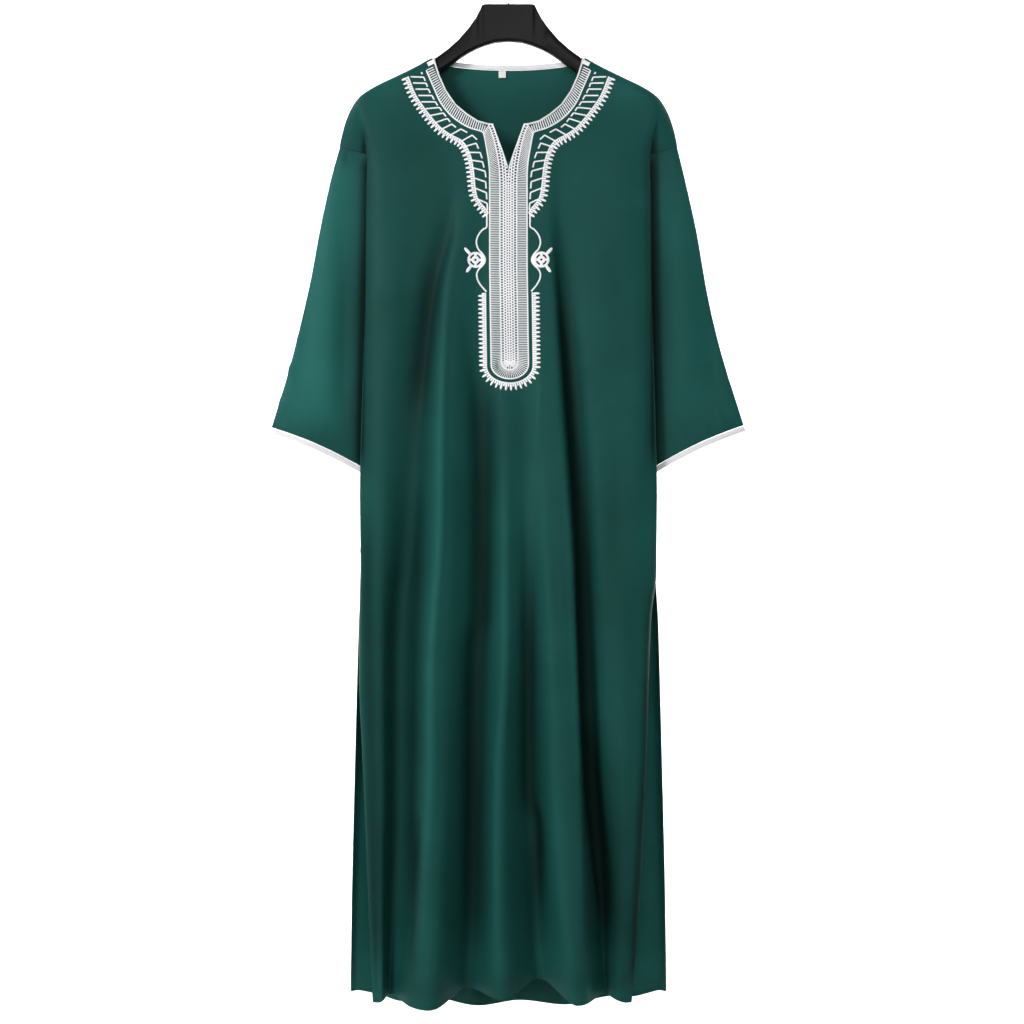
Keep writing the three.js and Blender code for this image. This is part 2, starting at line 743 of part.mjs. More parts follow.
// The rows of a panel's side edge that the sleeve is sewn to, moved off by the seam's gap.
function armholeEdge(grid, side, facing) {
  const rows = SHOULDER_ROWS.length + ARM_ROWS;
  const edge = [];
  for (let row = 0; row < rows; row++) {
    const turned = ease(row / SEAM_TURN_ROWS);
    const point = grid[row][side < 0 ? 0 : grid[0].length - 1].clone();
    point.y += -facing * turned * (CLOTH + SEAM_GAP);
    point.z -= SEAM_GAP;
    if (row === 0) point.y = 0;
    edge.push(point);
  }
  return edge;
}

// Shares of the way along a line of points, from 0 at its start to 1 at its end.
function sharesAlong(points) {
  const lengths = [0];
  for (let i = 1; i < points.length; i++)
    lengths.push(lengths[i - 1] + points[i].distanceTo(points[i - 1]));
  return lengths.map((length) => length / lengths[lengths.length - 1]);
}

// One layer of a sleeve, front or back, as rows from the armhole to the cuff.
function sleeveLayer(edge, side, topTable, facing) {
  const shares = sharesAlong(edge);
  const upper = follow(topTable, "drop", "x");
  const under = follow(UNDER_SEAM, "drop", "x");
  const [outerDrop, innerDrop] = [topTable, UNDER_SEAM].map((table) => table[table.length - 1].drop);
  const under0 = edge[edge.length - 1];
  const seamSide = facing * CUFF.innerDepth;
  const middle = (sideDepth.front(UNDERARM_DROP) + sideDepth.back(UNDERARM_DROP)) / 2;
  const topLine = (v) => {
    const drop = mix(CAP_END.drop + SEAM_GAP, outerDrop, v);
    return at(side * upper(drop), mix(0, CUFF.edgeDepth, v), drop);
  };
  const underLine = (v) => {
    const drop = mix(UNDERARM_DROP + SEAM_GAP, innerDrop, v);
    return at(side * under(drop), mix(under0.y, middle + seamSide, v), drop);
  };
  const cuffLine = (u) => {
    const belly = (facing < 0 ? CUFF.front : CUFF.back) * Math.sin(Math.PI * u) ** CUFF.bellyPower;
    const y = mix(CUFF.edgeDepth, middle + seamSide, u) + belly * (1 - CUFF.underFlatter * u);
    const x = mix(upper(outerDrop), under(innerDrop), u);
    return at(side * x, y, mix(outerDrop, innerDrop, u) - CUFF.rise * Math.sin(Math.PI * u));
  };
  const corners = [edge[0], under0, topLine(1), underLine(1)];
  const rows = [];
  for (let i = 0; i <= SLEEVE_STEPS; i++) {
    const v = i / SLEEVE_STEPS;
    rows.push(
      edge.map((point, column) => {
        const u = shares[column];
        return patch(u, v, point, cuffLine(u), topLine(v), underLine(v), corners);
      }),
    );
  }
  return rows;
}

// A whole sleeve as a round grid: the front layer, then the back layer the other way.
function sleeveGrid(side, topTable, frontGrid, backGrid) {
  const front = sleeveLayer(armholeEdge(frontGrid, side, -1), side, topTable, -1);
  const back = sleeveLayer(armholeEdge(backGrid, side, 1), side, topTable, 1);
  return front.map((row, i) => [...row, ...back[i].slice(1).reverse()]);
}

// The binding round a cuff: a band that carries the sleeve's last rows on.
function cuffBindingGrid(grid) {
  const end = grid[grid.length - 1];
  const before = grid[grid.length - 2];
  const step = (point, i, length) => {
    const along = point.clone().sub(before[i]).normalize();
    return point.clone().addScaledVector(along, length);
  };
  return [SEAM_GAP, CUFF.binding].map((length) => end.map((point, i) => step(point, i, length)));
}

// Neck binding: a strip that continues both panels past their neck cut.

function neckBinding(frontGrid, backGrid) {
  const shoulder = FRONT_TOP.findIndex((row) => row.x === SHOULDER_START);
  const backShoulder = BACK_TOP.findIndex((row) => row.x === SHOULDER_START);
  const notch = FRONT_TOP.findIndex((row) => row.x === NOTCH_HALF);
  const half = [];
  for (let i = notch; i < shoulder; i++)
    half.push({ grid: frontGrid, step: i, width: NECK_BINDING.front });
  for (let i = backShoulder - 1; i >= 0; i--) {
    const widen = ease((backShoulder - 1 - i) / NECK_BINDING.widenSteps);
    half.push({ grid: backGrid, step: i, width: mix(NECK_BINDING.front, NECK_BINDING.back, widen) });
  }
  const edge = (side) =>
    half.map(({ grid, step, width }) => {
      const column = (grid[0].length - 1) / 2 + side * step;
      const normal = gridNormal(grid, 0, column, false);
      return { point: grid[0][column], normal: normal.z < 0 ? normal.negate() : normal, width };
    });
  const top = (side) => ({
    point: at(side * SHOULDER_START, 0, FRONT_TOP[shoulder].drop),
    normal: new THREE.Vector3(0, 0, 1),
    width: NECK_BINDING.front,
  });
  const frontSteps = shoulder - notch;
  const withTop = (line, side) => [...line.slice(0, frontSteps), top(side), ...line.slice(frontSteps)];
  const left = withTop(edge(-1), -1);
  const right = withTop(edge(1), 1);
  const line = [...left, ...right.slice(0, -1).reverse()];
  const [low, high] = [-NECK_BINDING.thickness / 2, NECK_BINDING.thickness / 2];
  const rings = line.map(({ point, normal, width }, i) => {
    const tangent = line[Math.min(line.length - 1, i + 1)].point
      .clone()
      .sub(line[Math.max(0, i - 1)].point);
    const inwards = tangent.cross(normal).normalize();
    const corner = (reach, rise) =>
      point.clone().addScaledVector(inwards, reach).addScaledVector(normal, rise);
    const level = ease((normal.z - NECK_BINDING.levelFrom) / NECK_BINDING.levelSpan);
    const near = mix(SEAM_GAP, NECK_BINDING.topGap, level);
    const far = near + width;
    return [corner(near, high), corner(far, high), corner(far, low), corner(near, low)];
  });
  return loft(rings);
}

// Hanger and hook

function hangerGeometry() {
  const section = (row, side) => {
    const x = side * row.x;
    const ring = [];
    const corner = Math.min(HANGER_CORNER, row.half / 2);
    for (const angle of HANGER_TOP_ANGLES) {
      const turn = THREE.MathUtils.degToRad(angle);
      ring.push([row.half * Math.cos(turn), row.top + row.round * (1 - Math.sin(turn))]);
    }
    ring.push([row.half, row.under - corner]);
    ring.push([row.half - corner, row.under]);
    const mirrored = ring
      .slice(1)
      .reverse()
      .map(([y, drop]) => [-y, drop]);
    return [...ring, ...mirrored].map(([y, drop]) => at(x, y, drop));
  };
  const left = HANGER.slice(1)
    .reverse()
    .map((row) => section(row, -1));
  return loft([...left, ...HANGER.map((row) => section(row, 1))]);
}

function hookGeometry() {
  const radius = HOOK.wire / 2;
  const bend = HOOK.crownRadius + radius;
  const route = [
    new THREE.Vector3(0, 0, -HOOK.height + HOOK.seat),
    new THREE.Vector3(0, 0, -HOOK.height + HOOK.stem),
    new THREE.Vector3(HOOK.neck.x, 0, -HOOK.height + HOOK.neck.rise),
  ];
  for (let angle = HOOK.turnFrom; angle <= HOOK.turnTo; angle += HOOK.turnStep) {
    const turn = THREE.MathUtils.degToRad(angle);
    route.push(new THREE.Vector3(bend * Math.cos(turn), 0, -HOOK.crownRadius + bend * Math.sin(turn)));
  }
  const path = new THREE.CatmullRomCurve3(route);
  const wire = new THREE.Shape();
  for (let i = 0; i < HOOK.sides; i++) {
    const turn = (2 * Math.PI * (i + 0.5)) / HOOK.sides;
    const [x, y] = [radius * Math.cos(turn), radius * Math.sin(turn)];
    if (i) wire.lineTo(x, y);
    else wire.moveTo(x, y);
  }
  return new THREE.ExtrudeGeometry(wire, { steps: HOOK.steps, extrudePath: path, bevelEnabled: false });
}

// Embroidery: flat raised pieces, made from the front's own points and moved out

// A point over the front, raised from the middle of its wall.
function trimPoint(x, drop, rise) {
  const depth = (right, down) => depthAt(FRONT, x + right * NORMAL_REACH, drop + down * NORMAL_REACH);
  const across = new THREE.Vector3(2 * NORMAL_REACH, depth(1, 0) - depth(-1, 0), 0);
  const down = new THREE.Vector3(0, depth(0, 1) - depth(0, -1), -2 * NORMAL_REACH);
  const normal = across.cross(down).normalize();
  if (normal.y > 0) normal.negate();
  return at(x, depth(0, 0), drop).addScaledVector(normal, rise);
}

// A flat strip on the front between two lines of [x, drop] places, with columns across it.
function trimStrip(places, columns) {
  const rise = CLOTH / 2 + TRIM.lift + TRIM.thickness / 2;
  const grid = places.map(([a, b]) => {
    const row = [];
    for (let i = 0; i <= columns; i++) {
      const share = i / columns;
      row.push(trimPoint(mix(a[0], b[0], share), mix(a[1], b[1], share), rise));
    }
    return row;
  });
  return clothWall(grid, TRIM.thickness);
}

// The places of one half of the neck and placket embroidery, down to the placket's round end.
function neckBandPlaces(side) {
  const places = NECK_BAND.map((row) => [
    [side * row.innerX, row.innerDrop],
    [side * row.outerX, row.outerDrop],
  ]);
  for (let i = 1; i < PLACKET.arcSteps; i++) {
    const turn = (i / PLACKET.arcSteps) * (Math.PI / 2);
    const drop = mix(PLACKET.straightEnd, PLACKET.end, Math.sin(turn));
    places.push([
      [side * PLACKET.centreGap, drop],
      [side * PLACKET.half * Math.cos(turn), drop],
    ]);
  }
  return places;
}

// The toothed border: a strip of even width along a line of places.
function borderStrip(line) {
  const half = TRIM.borderWidth / 2;
  const places = line.map((place, i) => {
    const before = line[Math.max(0, i - 1)];
    const after = line[Math.min(line.length - 1, i + 1)];
    const along = new THREE.Vector2(after[0] - before[0], after[1] - before[1]).normalize();
    const [dx, dd] = [-along.y * half, along.x * half];
    return [
      [place[0] + dx, place[1] + dd],
      [place[0] - dx, place[1] - dd],
    ];
  });
  return trimStrip(places, TRIM.borderColumns);
}

function placketBorderLine() {
  const { half, top, bottom, roundness, arcSteps, straightShares } = PLACKET_BORDER;
  const left = straightShares.map((share) => [-half, mix(top, bottom, share)]);
  const arc = [];
  for (let i = 0; i <= arcSteps; i++) {
    const turn = (i / arcSteps) * Math.PI;
    arc.push([-half * Math.cos(turn), bottom + half * roundness * Math.sin(turn)]);
  }
  const right = left.map(([x, drop]) => [-x, drop]).reverse();
  return [...left, ...arc, ...right];
}

// A round medallion with two leaf points that face away from the placket.
function medallionGeometry(side) {
  const upper = MEDALLION_OUTLINE.map(({ turn, reach }) => {
    const angle = THREE.MathUtils.degToRad(turn);
    return [reach * Math.cos(angle), -reach * Math.sin(angle)];
  });
  const lower = upper
    .slice(1, -1)
    .reverse()
    .map(([out, drop]) => [out, -drop]);
  const outline = [...upper, ...lower];
  const ring = (rise) =>
    outline.map(([out, drop]) => trimPoint(side * (MEDALLION.x + out), MEDALLION.drop + drop, rise));
  const low = CLOTH / 2 + TRIM.lift;
  return loft([ring(low), ring(low + TRIM.thickness)]);
}

// Size label: a blank tab that hangs inside the back neck.
function labelGeometry() {
  const { x, width, length, thickness, below } = LABEL;
  const top = BACK_TOP[0].drop + below;
  const depth = depthAt(BACK, x, top) - CLOTH / 2 - SEAM_GAP - thickness / 2;
  const box = new THREE.BoxGeometry(width, thickness, length);
  return box.translate(x, depth, -HOOK.height - top - length / 2);
}

// Assembly

const group = new THREE.Group();
group.name = "thobe_on_hanger";

function addPiece(name, geometry, finish) {
  const mesh = new THREE.Mesh(geometry, new THREE.MeshStandardMaterial(FINISHES[finish]));
  mesh.name = name;
  group.add(mesh);
}

const frontGrid = panelGrid(FRONT);
const backGrid = panelGrid(BACK);
const sleeves = {
  left: sleeveGrid(-1, SLEEVE_TOP_LEFT, frontGrid, backGrid),
  right: sleeveGrid(1, SLEEVE_TOP_RIGHT, frontGrid, backGrid),
};

addPiece("front", clothWall(frontGrid, CLOTH), "cloth");
addPiece("back", clothWall(backGrid, CLOTH), "cloth");
for (const [hand, grid] of Object.entries(sleeves)) {
  addPiece(`sleeve_${hand}`, clothWall(grid, CLOTH, true), "cloth");
  addPiece(`cuff_binding_${hand}`, clothWall(cuffBindingGrid(grid), NECK_BINDING.thickness, true), "white");
}
addPiece("neck_binding", neckBinding(frontGrid, backGrid), "white");
addPiece("size_label", labelGeometry(), "white");
for (const [hand, side] of [
  ["left", -1],
  ["right", 1],
]) {
  addPiece(`neck_embroidery_${hand}`, trimStrip(neckBandPlaces(side), TRIM.bandColumns), "white");
  const line = NECK_BORDER.map((row) => [side * row.x, row.drop]);
  addPiece(`neck_border_${hand}`, borderStrip(line), "white");
  addPiece(`medallion_${hand}`, medallionGeometry(side), "white");
}
addPiece("placket_border", borderStrip(placketBorderLine()), "white");
addPiece("hanger", hangerGeometry(), "plastic");
addPiece("hook", hookGeometry(), "steel");

export default group;
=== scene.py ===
"""A long green thobe on a broad black hanger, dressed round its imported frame.

Metres, +Z up, the garment's front towards -Y. The origin is the underside of the hook's crown.
"drop" is the distance in millimetres below the hanger's flat top, and "x" is in millimetres too.
"""

import logging
import math
from dataclasses import dataclass, field
from enum import Enum
from typing import Iterable, Sequence

import bmesh
import bpy
import numpy as np
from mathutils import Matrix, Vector
from mathutils.bvhtree import BVHTree


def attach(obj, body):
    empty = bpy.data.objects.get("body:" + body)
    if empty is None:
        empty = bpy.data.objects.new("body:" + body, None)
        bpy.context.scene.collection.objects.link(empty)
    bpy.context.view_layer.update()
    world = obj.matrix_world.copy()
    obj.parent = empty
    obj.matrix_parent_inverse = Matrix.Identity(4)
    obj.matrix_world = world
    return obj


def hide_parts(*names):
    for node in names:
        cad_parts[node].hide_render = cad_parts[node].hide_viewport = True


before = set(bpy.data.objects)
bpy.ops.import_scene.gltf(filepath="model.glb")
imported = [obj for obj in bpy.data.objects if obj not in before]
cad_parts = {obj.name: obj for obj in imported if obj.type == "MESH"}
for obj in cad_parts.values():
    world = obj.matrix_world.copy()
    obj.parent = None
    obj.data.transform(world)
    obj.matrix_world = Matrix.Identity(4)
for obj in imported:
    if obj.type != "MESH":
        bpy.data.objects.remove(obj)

LOG = logging.getLogger("thobe")
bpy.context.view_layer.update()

MM = 0.001
HANGER_TOP_MM = 54.0
WALL_MM = 1.5
BODY = "root"

# Points of the CAD's loose triangles that lie closer than this are one point, in metres.
MERGE = 3e-5
# How exactly a rim's edges have the wall's thickness, in metres.
RIM_SLACK = 2e-6
# The band below a panel's top edge in which its shoulder corners lie, in metres.
SHOULDER_DEPTH = 0.16
# How much a lower place counts against a place further out in the search for a corner.
CORNER_WEIGHT = 0.2
# Steps of a smooth line between two of its places.
CURVE_STEPS = 16
# Cloth takes its folds in full where its normal has this share towards its own side.
FULL_FACING = 0.35
# Least and greatest value of the attribute "shade", the painted shade in the cloth's colour, which is painted
# light below 0.
SHADE_RANGE = (-1.0, 0.95)

Place = tuple[float, float]
Colour = tuple[float, float, float]


class Hand(Enum):
    """A side of the garment, as the viewer in front sees it."""

    LEFT = -1
    RIGHT = 1

    @property
    def word(self) -> str:
        """The side's name in lower case."""
        return self.name.lower()


class Facing(Enum):
    """Which way a sheet's visible side looks."""

    FRONT = -1
    BACK = 1


def ease(value: np.ndarray | float) -> np.ndarray | float:
    """Smooth step from 0 to 1.

    Args:
        value: Share of the way, which may lie outside 0 to 1.

    Returns:
        The eased share.
    """
    share = np.clip(value, 0.0, 1.0)
    return share * share * (3.0 - 2.0 * share)


def resample(path: Sequence[Place], pitch: float, curved: bool = True) -> np.ndarray:
    """Places a line through a few places and cuts it into even steps.

    Args:
        path: Places that the line goes through.
        pitch: Length of a step, in the places' unit.
        curved: Whether the line is a smooth curve or runs straight from place to place.

    Returns:
        The steps' ends, one row each.
    """
    points = np.array(path, float)
    if curved and len(points) > 2:
        padded = np.vstack([2 * points[0] - points[1], points, 2 * points[-1] - points[-2]])
        dense = [points[0]]
        for i in range(1, len(padded) - 2):
            a, b, c, d = padded[i - 1 : i + 3]
            for t in np.linspace(0, 1, CURVE_STEPS + 1)[1:]:
                dense.append(
                    0.5
                    * (
                        2 * b
                        + (c - a) * t
                        + (2 * a - 5 * b + 4 * c - d) * t * t
                        + (3 * b - a - 3 * c + d) * t**3
                    )
                )
        points = np.array(dense)
    lengths = np.concatenate([[0], np.cumsum(np.linalg.norm(np.diff(points, axis=0), axis=1))])
    count = max(2, int(round(lengths[-1] / pitch)) + 1)
    at = np.linspace(0, lengths[-1], count)
    return np.column_stack([np.interp(at, lengths, points[:, k]) for k in range(points.shape[1])])


def directions(line: np.ndarray) -> np.ndarray:
    """Unit directions along a line of places.

    Args:
        line: Places, one row each.

    Returns:
        One direction for each place.
    """
    steps = np.gradient(line, axis=0)
    return steps / np.maximum(np.linalg.norm(steps, axis=1), 1e-9)[:, None]


def offset(line: np.ndarray, distance: float) -> np.ndarray:
    """Moves a flat line sideways, to its left for a positive distance.

    Args:
        line: Places, one row each.
        distance: How far, in the places' unit.

    Returns:
        The moved places.
    """
    along = directions(line)
    return line + np.column_stack([along[:, 1], -along[:, 0]]) * distance


def new_object(name: str, points: Iterable, faces: Iterable) -> bpy.types.Object:
    """Makes a mesh object at the origin from points in metres.

    Args:
        name: The piece's name.
        points: The mesh's points.
        faces: The mesh's faces, as tuples of point numbers.

    Returns:
        The object, linked to the scene.
    """
    mesh = bpy.data.meshes.new(name)
    mesh.from_pydata([tuple(p) for p in points], [], [tuple(f) for f in faces])
    mesh.validate()
    obj = bpy.data.objects.new(name, mesh)
    bpy.context.scene.collection.objects.link(obj)
    return obj


def pick(obj: bpy.types.Object) -> None:
    """Makes one object the only selected and the active one."""
    bpy.ops.object.select_all(action="DESELECT")
    obj.select_set(True)
    bpy.context.view_layer.objects.active = obj


def apply_modifier(obj: bpy.types.Object, kind: str, **settings: object) -> None:
    """Adds a modifier to an object and applies it.

    Args:
        obj: The object.
        kind: The modifier's type.
        settings: The modifier's own settings.
    """
    pick(obj)
    bpy.ops.object.modifier_add(type=kind)
    modifier = obj.modifiers[-1]
    for key, value in settings.items():
        setattr(modifier, key, value)
    bpy.ops.object.modifier_apply(modifier=modifier.name)


def smooth(obj: bpy.types.Object, degrees: float = 180.0) -> None:
    """Shades an object smooth, apart from edges sharper than an angle."""
    pick(obj)
    bpy.ops.object.shade_smooth_by_angle(angle=math.radians(degrees))


def mesh_points(obj: bpy.types.Object) -> np.ndarray:
    """An object's points, one row each, in metres."""
    values = np.empty(len(obj.data.vertices) * 3, np.float64)
    obj.data.vertices.foreach_get("co", values)
    return values.reshape(-1, 3)


def mesh_normals(obj: bpy.types.Object) -> np.ndarray:
    """An object's point normals, one row each."""
    values = np.empty(len(obj.data.vertices) * 3, np.float64)
    obj.data.vertices.foreach_get("normal", values)
    return values.reshape(-1, 3)


def set_points(obj: bpy.types.Object, points: np.ndarray) -> None:
    """Moves an object's points to new places."""
    obj.data.vertices.foreach_set("co", points.ravel())
    obj.data.update()


def finish_piece(
    obj: bpy.types.Object,
    material: bpy.types.Material,
    replaced: Sequence[str] = (),
) -> bpy.types.Object:
    """Gives a piece its finish, its body and the nodes it stands for.

    Args:
        obj: The piece.
        material: Its material.
        replaced: CAD nodes that it replaces.

    Returns:
        The same piece.
    """
    obj.data.materials.clear()
    obj.data.materials.append(material)
    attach(obj, BODY)
    if replaced:
        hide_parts(*replaced)
    LOG.info("%s: %d faces", obj.name, len(obj.data.polygons))
    return obj


# Reading the CAD's cloth walls back as grids


@dataclass
class WallGrid:
    """One side of a CAD cloth wall, as a grid of points.

    Attributes:
        points: Rows of points from the top edge down, in metres.
        round: Whether the last column joins the first.
    """

    points: np.ndarray
    round: bool

    @classmethod
    def of_panel(cls, node: str, facing: Facing) -> "WallGrid":
        """Reads the visible side of a flat panel.

        Args:
            node: The CAD node.
            facing: The side it shows.

        Returns:
            Its grid, with columns from the left to the right.
        """
        bm = cls._open_wall(node)
        islands = cls._islands(bm)
        side = max(islands, key=lambda faces: facing.value * cls._middle(faces).y)
        loop = cls._boundary_loops(side)[0]
        top = max(v.co.z for v in loop)
        shoulder = [v for v in loop if v.co.z > top - SHOULDER_DEPTH]
        left = min(shoulder, key=lambda v: v.co.x + CORNER_WEIGHT * abs(v.co.z - top))
        right = max(shoulder, key=lambda v: v.co.x - CORNER_WEIGHT * abs(v.co.z - top))
        row = cls._path(loop, left, right)
        grid = cls._walk(bm, side, row)
        bm.free()
        return cls(grid, False)

    @classmethod
    def of_sleeve(cls, node: str) -> "WallGrid":
        """Reads the outside of a round sleeve or band.

        Args:
            node: The CAD node.

        Returns:
            Its grid, which starts at the top line and goes down the front first.
        """
        bm = cls._open_wall(node)
        side = max(cls._islands(bm), key=lambda faces: sum(f.calc_area() for f in faces))
        loops = cls._boundary_loops(side)
        loop = max(loops, key=lambda vs: sum(v.co.z for v in vs) / len(vs))
        start = max(range(len(loop)), key=lambda i: loop[i].co.z)
        ordered = loop[start:] + loop[:start]
        if ordered[1].co.y > ordered[-1].co.y:
            ordered = [ordered[0], *reversed(ordered[1:])]
        grid = cls._walk(bm, side, [*ordered, ordered[0]])
        bm.free()
        return cls(grid[:, :-1], True)

    @staticmethod
    def _open_wall(node: str) -> bmesh.types.BMesh:
        """A merged copy of a CAD wall without the narrow faces of its rims."""
        bm = bmesh.new()
        bm.from_mesh(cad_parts[node].data)
        bmesh.ops.remove_doubles(bm, verts=bm.verts, dist=MERGE)
        rims = set()
        for edge in bm.edges:
            if abs(edge.calc_length() - WALL_MM * MM) < RIM_SLACK:
                rims.update(edge.link_faces)
        bmesh.ops.delete(bm, geom=list(rims), context="FACES")
        return bm

    @staticmethod
    def _islands(bm: bmesh.types.BMesh) -> list[set]:
        """The sets of joined faces in a mesh, the largest first."""
        left = set(bm.faces)
        found = []
        while left:
            island = set()
            queue = [left.pop()]
            while queue:
                face = queue.pop()
                island.add(face)
                for edge in face.edges:
                    for other in edge.link_faces:
                        if other in left:
                            left.remove(other)
                            queue.append(other)
            found.append(island)
        found.sort(key=len, reverse=True)
        return found[:2]

    @staticmethod
    def _middle(faces: set) -> Vector:
        """The mean place of some faces."""
        total = Vector()
        for face in faces:
            total += face.calc_center_median()
        return total / len(faces)

    @staticmethod
    def _boundary_loops(faces: set) -> list[list]:
        """The closed rims of a set of faces, as ordered lists of points, the longest first."""
        rim = {}
        for face in faces:
            for edge in face.edges:
                if sum(f in faces for f in edge.link_faces) == 1:
                    for vert in edge.verts:
                        rim.setdefault(vert, []).append(edge.other_vert(vert))
        loops = []
        while rim:
            start = next(iter(rim))
            loop = [start]
            while True:
                options = [v for v in rim.pop(loop[-1], []) if v in rim]
                if not options:
                    break
                loop.append(options[0])
            loops.append(loop)
        return sorted(loops, key=len, reverse=True)

    @staticmethod
    def _path(loop: list, start: object, end: object) -> list:
        """The way round a loop between two of its points that runs highest."""
        i = loop.index(start)
        turned = loop[i:] + loop[:i]
        j = turned.index(end)
        ways = [turned[: j + 1], [turned[0], *reversed(turned[j:])]]
        return max(ways, key=lambda way: sum(v.co.z for v in way) / len(way))

    @staticmethod
    def _walk(bm: bmesh.types.BMesh, faces: set, row: list) -> np.ndarray:
        """Finds the rows of a triangulated grid one by one from its first row."""
        used = set()
        rows = [row]

        def third(face: object, a: object, b: object) -> object:
            return next(v for v in face.verts if v not in (a, b))

        while True:
            following = []
            for a, d in zip(rows[-1], rows[-1][1:]):
                edge = bm.edges.get((a, d))
                face = next((f for f in edge.link_faces if f in faces and f not in used), None)
                if face is None:
                    return np.array([[tuple(v.co) for v in r] for r in rows])
                used.add(face)
                far = third(face, a, d)
                side = next(f for f in bm.edges.get((a, far)).link_faces if f is not face)
                used.add(side)
                if not following:
                    following.append(third(side, a, far))
                following.append(far)
            rows.append(following)


# Finishes

# How much finer the cloth's streaks are along each axis.
STREAK_STRETCH = (60.0, 60.0, 5.0)
# The threads' part in the height of the weave, next to the streaks.
THREAD_SHARE = 0.04


class Shader:
    """A short way to lay out a material's nodes."""

    def __init__(self, tree: bpy.types.NodeTree) -> None:
        """Starts on a node tree."""
        self.tree = tree

    def add(self, kind: str, **settings: object) -> bpy.types.Node:
        """Adds a node.

        Args:
            kind: The node's type.
            settings: Properties by name, and inputs by name with "_" for a space.

        Returns:
            The node.
        """
        node = self.tree.nodes.new(kind)
        for key, value in settings.items():
            if hasattr(node, key):
                setattr(node, key, value)
            else:
                self.put(value, node.inputs[key.replace("_", " ")])
        return node

    def link(self, source: bpy.types.NodeSocket, target: bpy.types.NodeSocket) -> None:
        """Joins two sockets."""
        self.tree.links.new(source, target)

    def put(self, value: object, socket: bpy.types.NodeSocket) -> None:
        """Joins a socket to another one, or sets it to a plain value."""
        if isinstance(value, bpy.types.NodeSocket):
            self.link(value, socket)
        else:
            socket.default_value = value

    def math(self, operation: str, *values: object) -> bpy.types.NodeSocket:
        """Adds one step of arithmetic.

        Args:
            operation: Its name.
            values: Sockets or plain numbers.

        Returns:
            The result's socket.
        """
        node = self.add("ShaderNodeMath", operation=operation)
        for value, socket in zip(values, node.inputs):
            self.put(value, socket)
        return node.outputs[0]

    def remap(
        self,
        value: bpy.types.NodeSocket,
        low: float,
        high: float,
        source: tuple[float, float] = (0.0, 1.0),
    ) -> bpy.types.NodeSocket:
        """Spreads a range of values over another range.

        Args:
            value: The value's socket.
            low: Start of the new range.
            high: Its end.
            source: Start and end of the old range.

        Returns:
            The result's socket.
        """
        node = self.add("ShaderNodeMapRange", From_Min=source[0], From_Max=source[1], To_Min=low, To_Max=high)
        self.link(value, node.inputs["Value"])
        return node.outputs["Result"]

    def scale(self, colour: object, factor: bpy.types.NodeSocket) -> bpy.types.NodeSocket:
        """Multiplies a colour by a value.

        Args:
            colour: The colour, or its socket.
            factor: The value's socket.

        Returns:
            The result's socket.
        """
        node = self.add("ShaderNodeVectorMath", operation="SCALE")
        self.put(colour, node.inputs[0])
        self.link(factor, node.inputs["Scale"])
        return node.outputs[0]

    def bump(self, height: bpy.types.NodeSocket, depth: float, shader: bpy.types.Node) -> None:
        """Gives a shader fine relief.

        Args:
            height: The relief's socket.
            depth: Its depth, in metres.
            shader: The shader.
        """
        node = self.add("ShaderNodeBump", Strength=1.0, Distance=depth, Height=height)
        self.link(node.outputs["Normal"], shader.inputs["Normal"])


def fine_weave_group() -> bpy.types.NodeTree:
    """The weave that every cloth shares: crossing threads and a soft unevenness.

    Returns:
        A node group with the outputs Height and Tone.
    """
    group = bpy.data.node_groups.get("fine_weave")
    if group:
        return group
    group = bpy.data.node_groups.new("fine_weave", "ShaderNodeTree")
    face = group.interface
    pitch = face.new_socket("Threads", in_out="INPUT", socket_type="NodeSocketFloat")
    pitch.default_value = 1400.0
    streak = face.new_socket("Streaks", in_out="INPUT", socket_type="NodeSocketFloat")
    streak.default_value = 0.5
    face.new_socket("Height", in_out="OUTPUT", socket_type="NodeSocketFloat")
    face.new_socket("Tone", in_out="OUTPUT", socket_type="NodeSocketFloat")
    kit = Shader(group)
    given = kit.add("NodeGroupInput").outputs
    out = kit.add("NodeGroupOutput")
    where = kit.add("ShaderNodeTexCoord").outputs["Object"]
    parts = kit.add("ShaderNodeSeparateXYZ", Vector=where).outputs
    waves = [kit.math("SINE", kit.math("MULTIPLY", parts[axis], given["Threads"])) for axis in ("X", "Z")]
    stretched = kit.add("ShaderNodeMapping", Vector=where, Scale=STREAK_STRETCH)
    noise = kit.add("ShaderNodeTexNoise", Vector=stretched.outputs[0], Scale=1.0, Detail=3.0)
    streaks = kit.math("MULTIPLY", noise.outputs["Fac"], given["Streaks"])
    height = kit.math("MULTIPLY_ADD", kit.math("MULTIPLY", *waves), THREAD_SHARE, streaks)
    kit.link(height, out.inputs["Height"])
    cloud = kit.add("ShaderNodeTexNoise", Vector=where, Scale=9.0, Detail=4.0)
    kit.link(cloud.outputs["Fac"], out.inputs["Tone"])
    return group


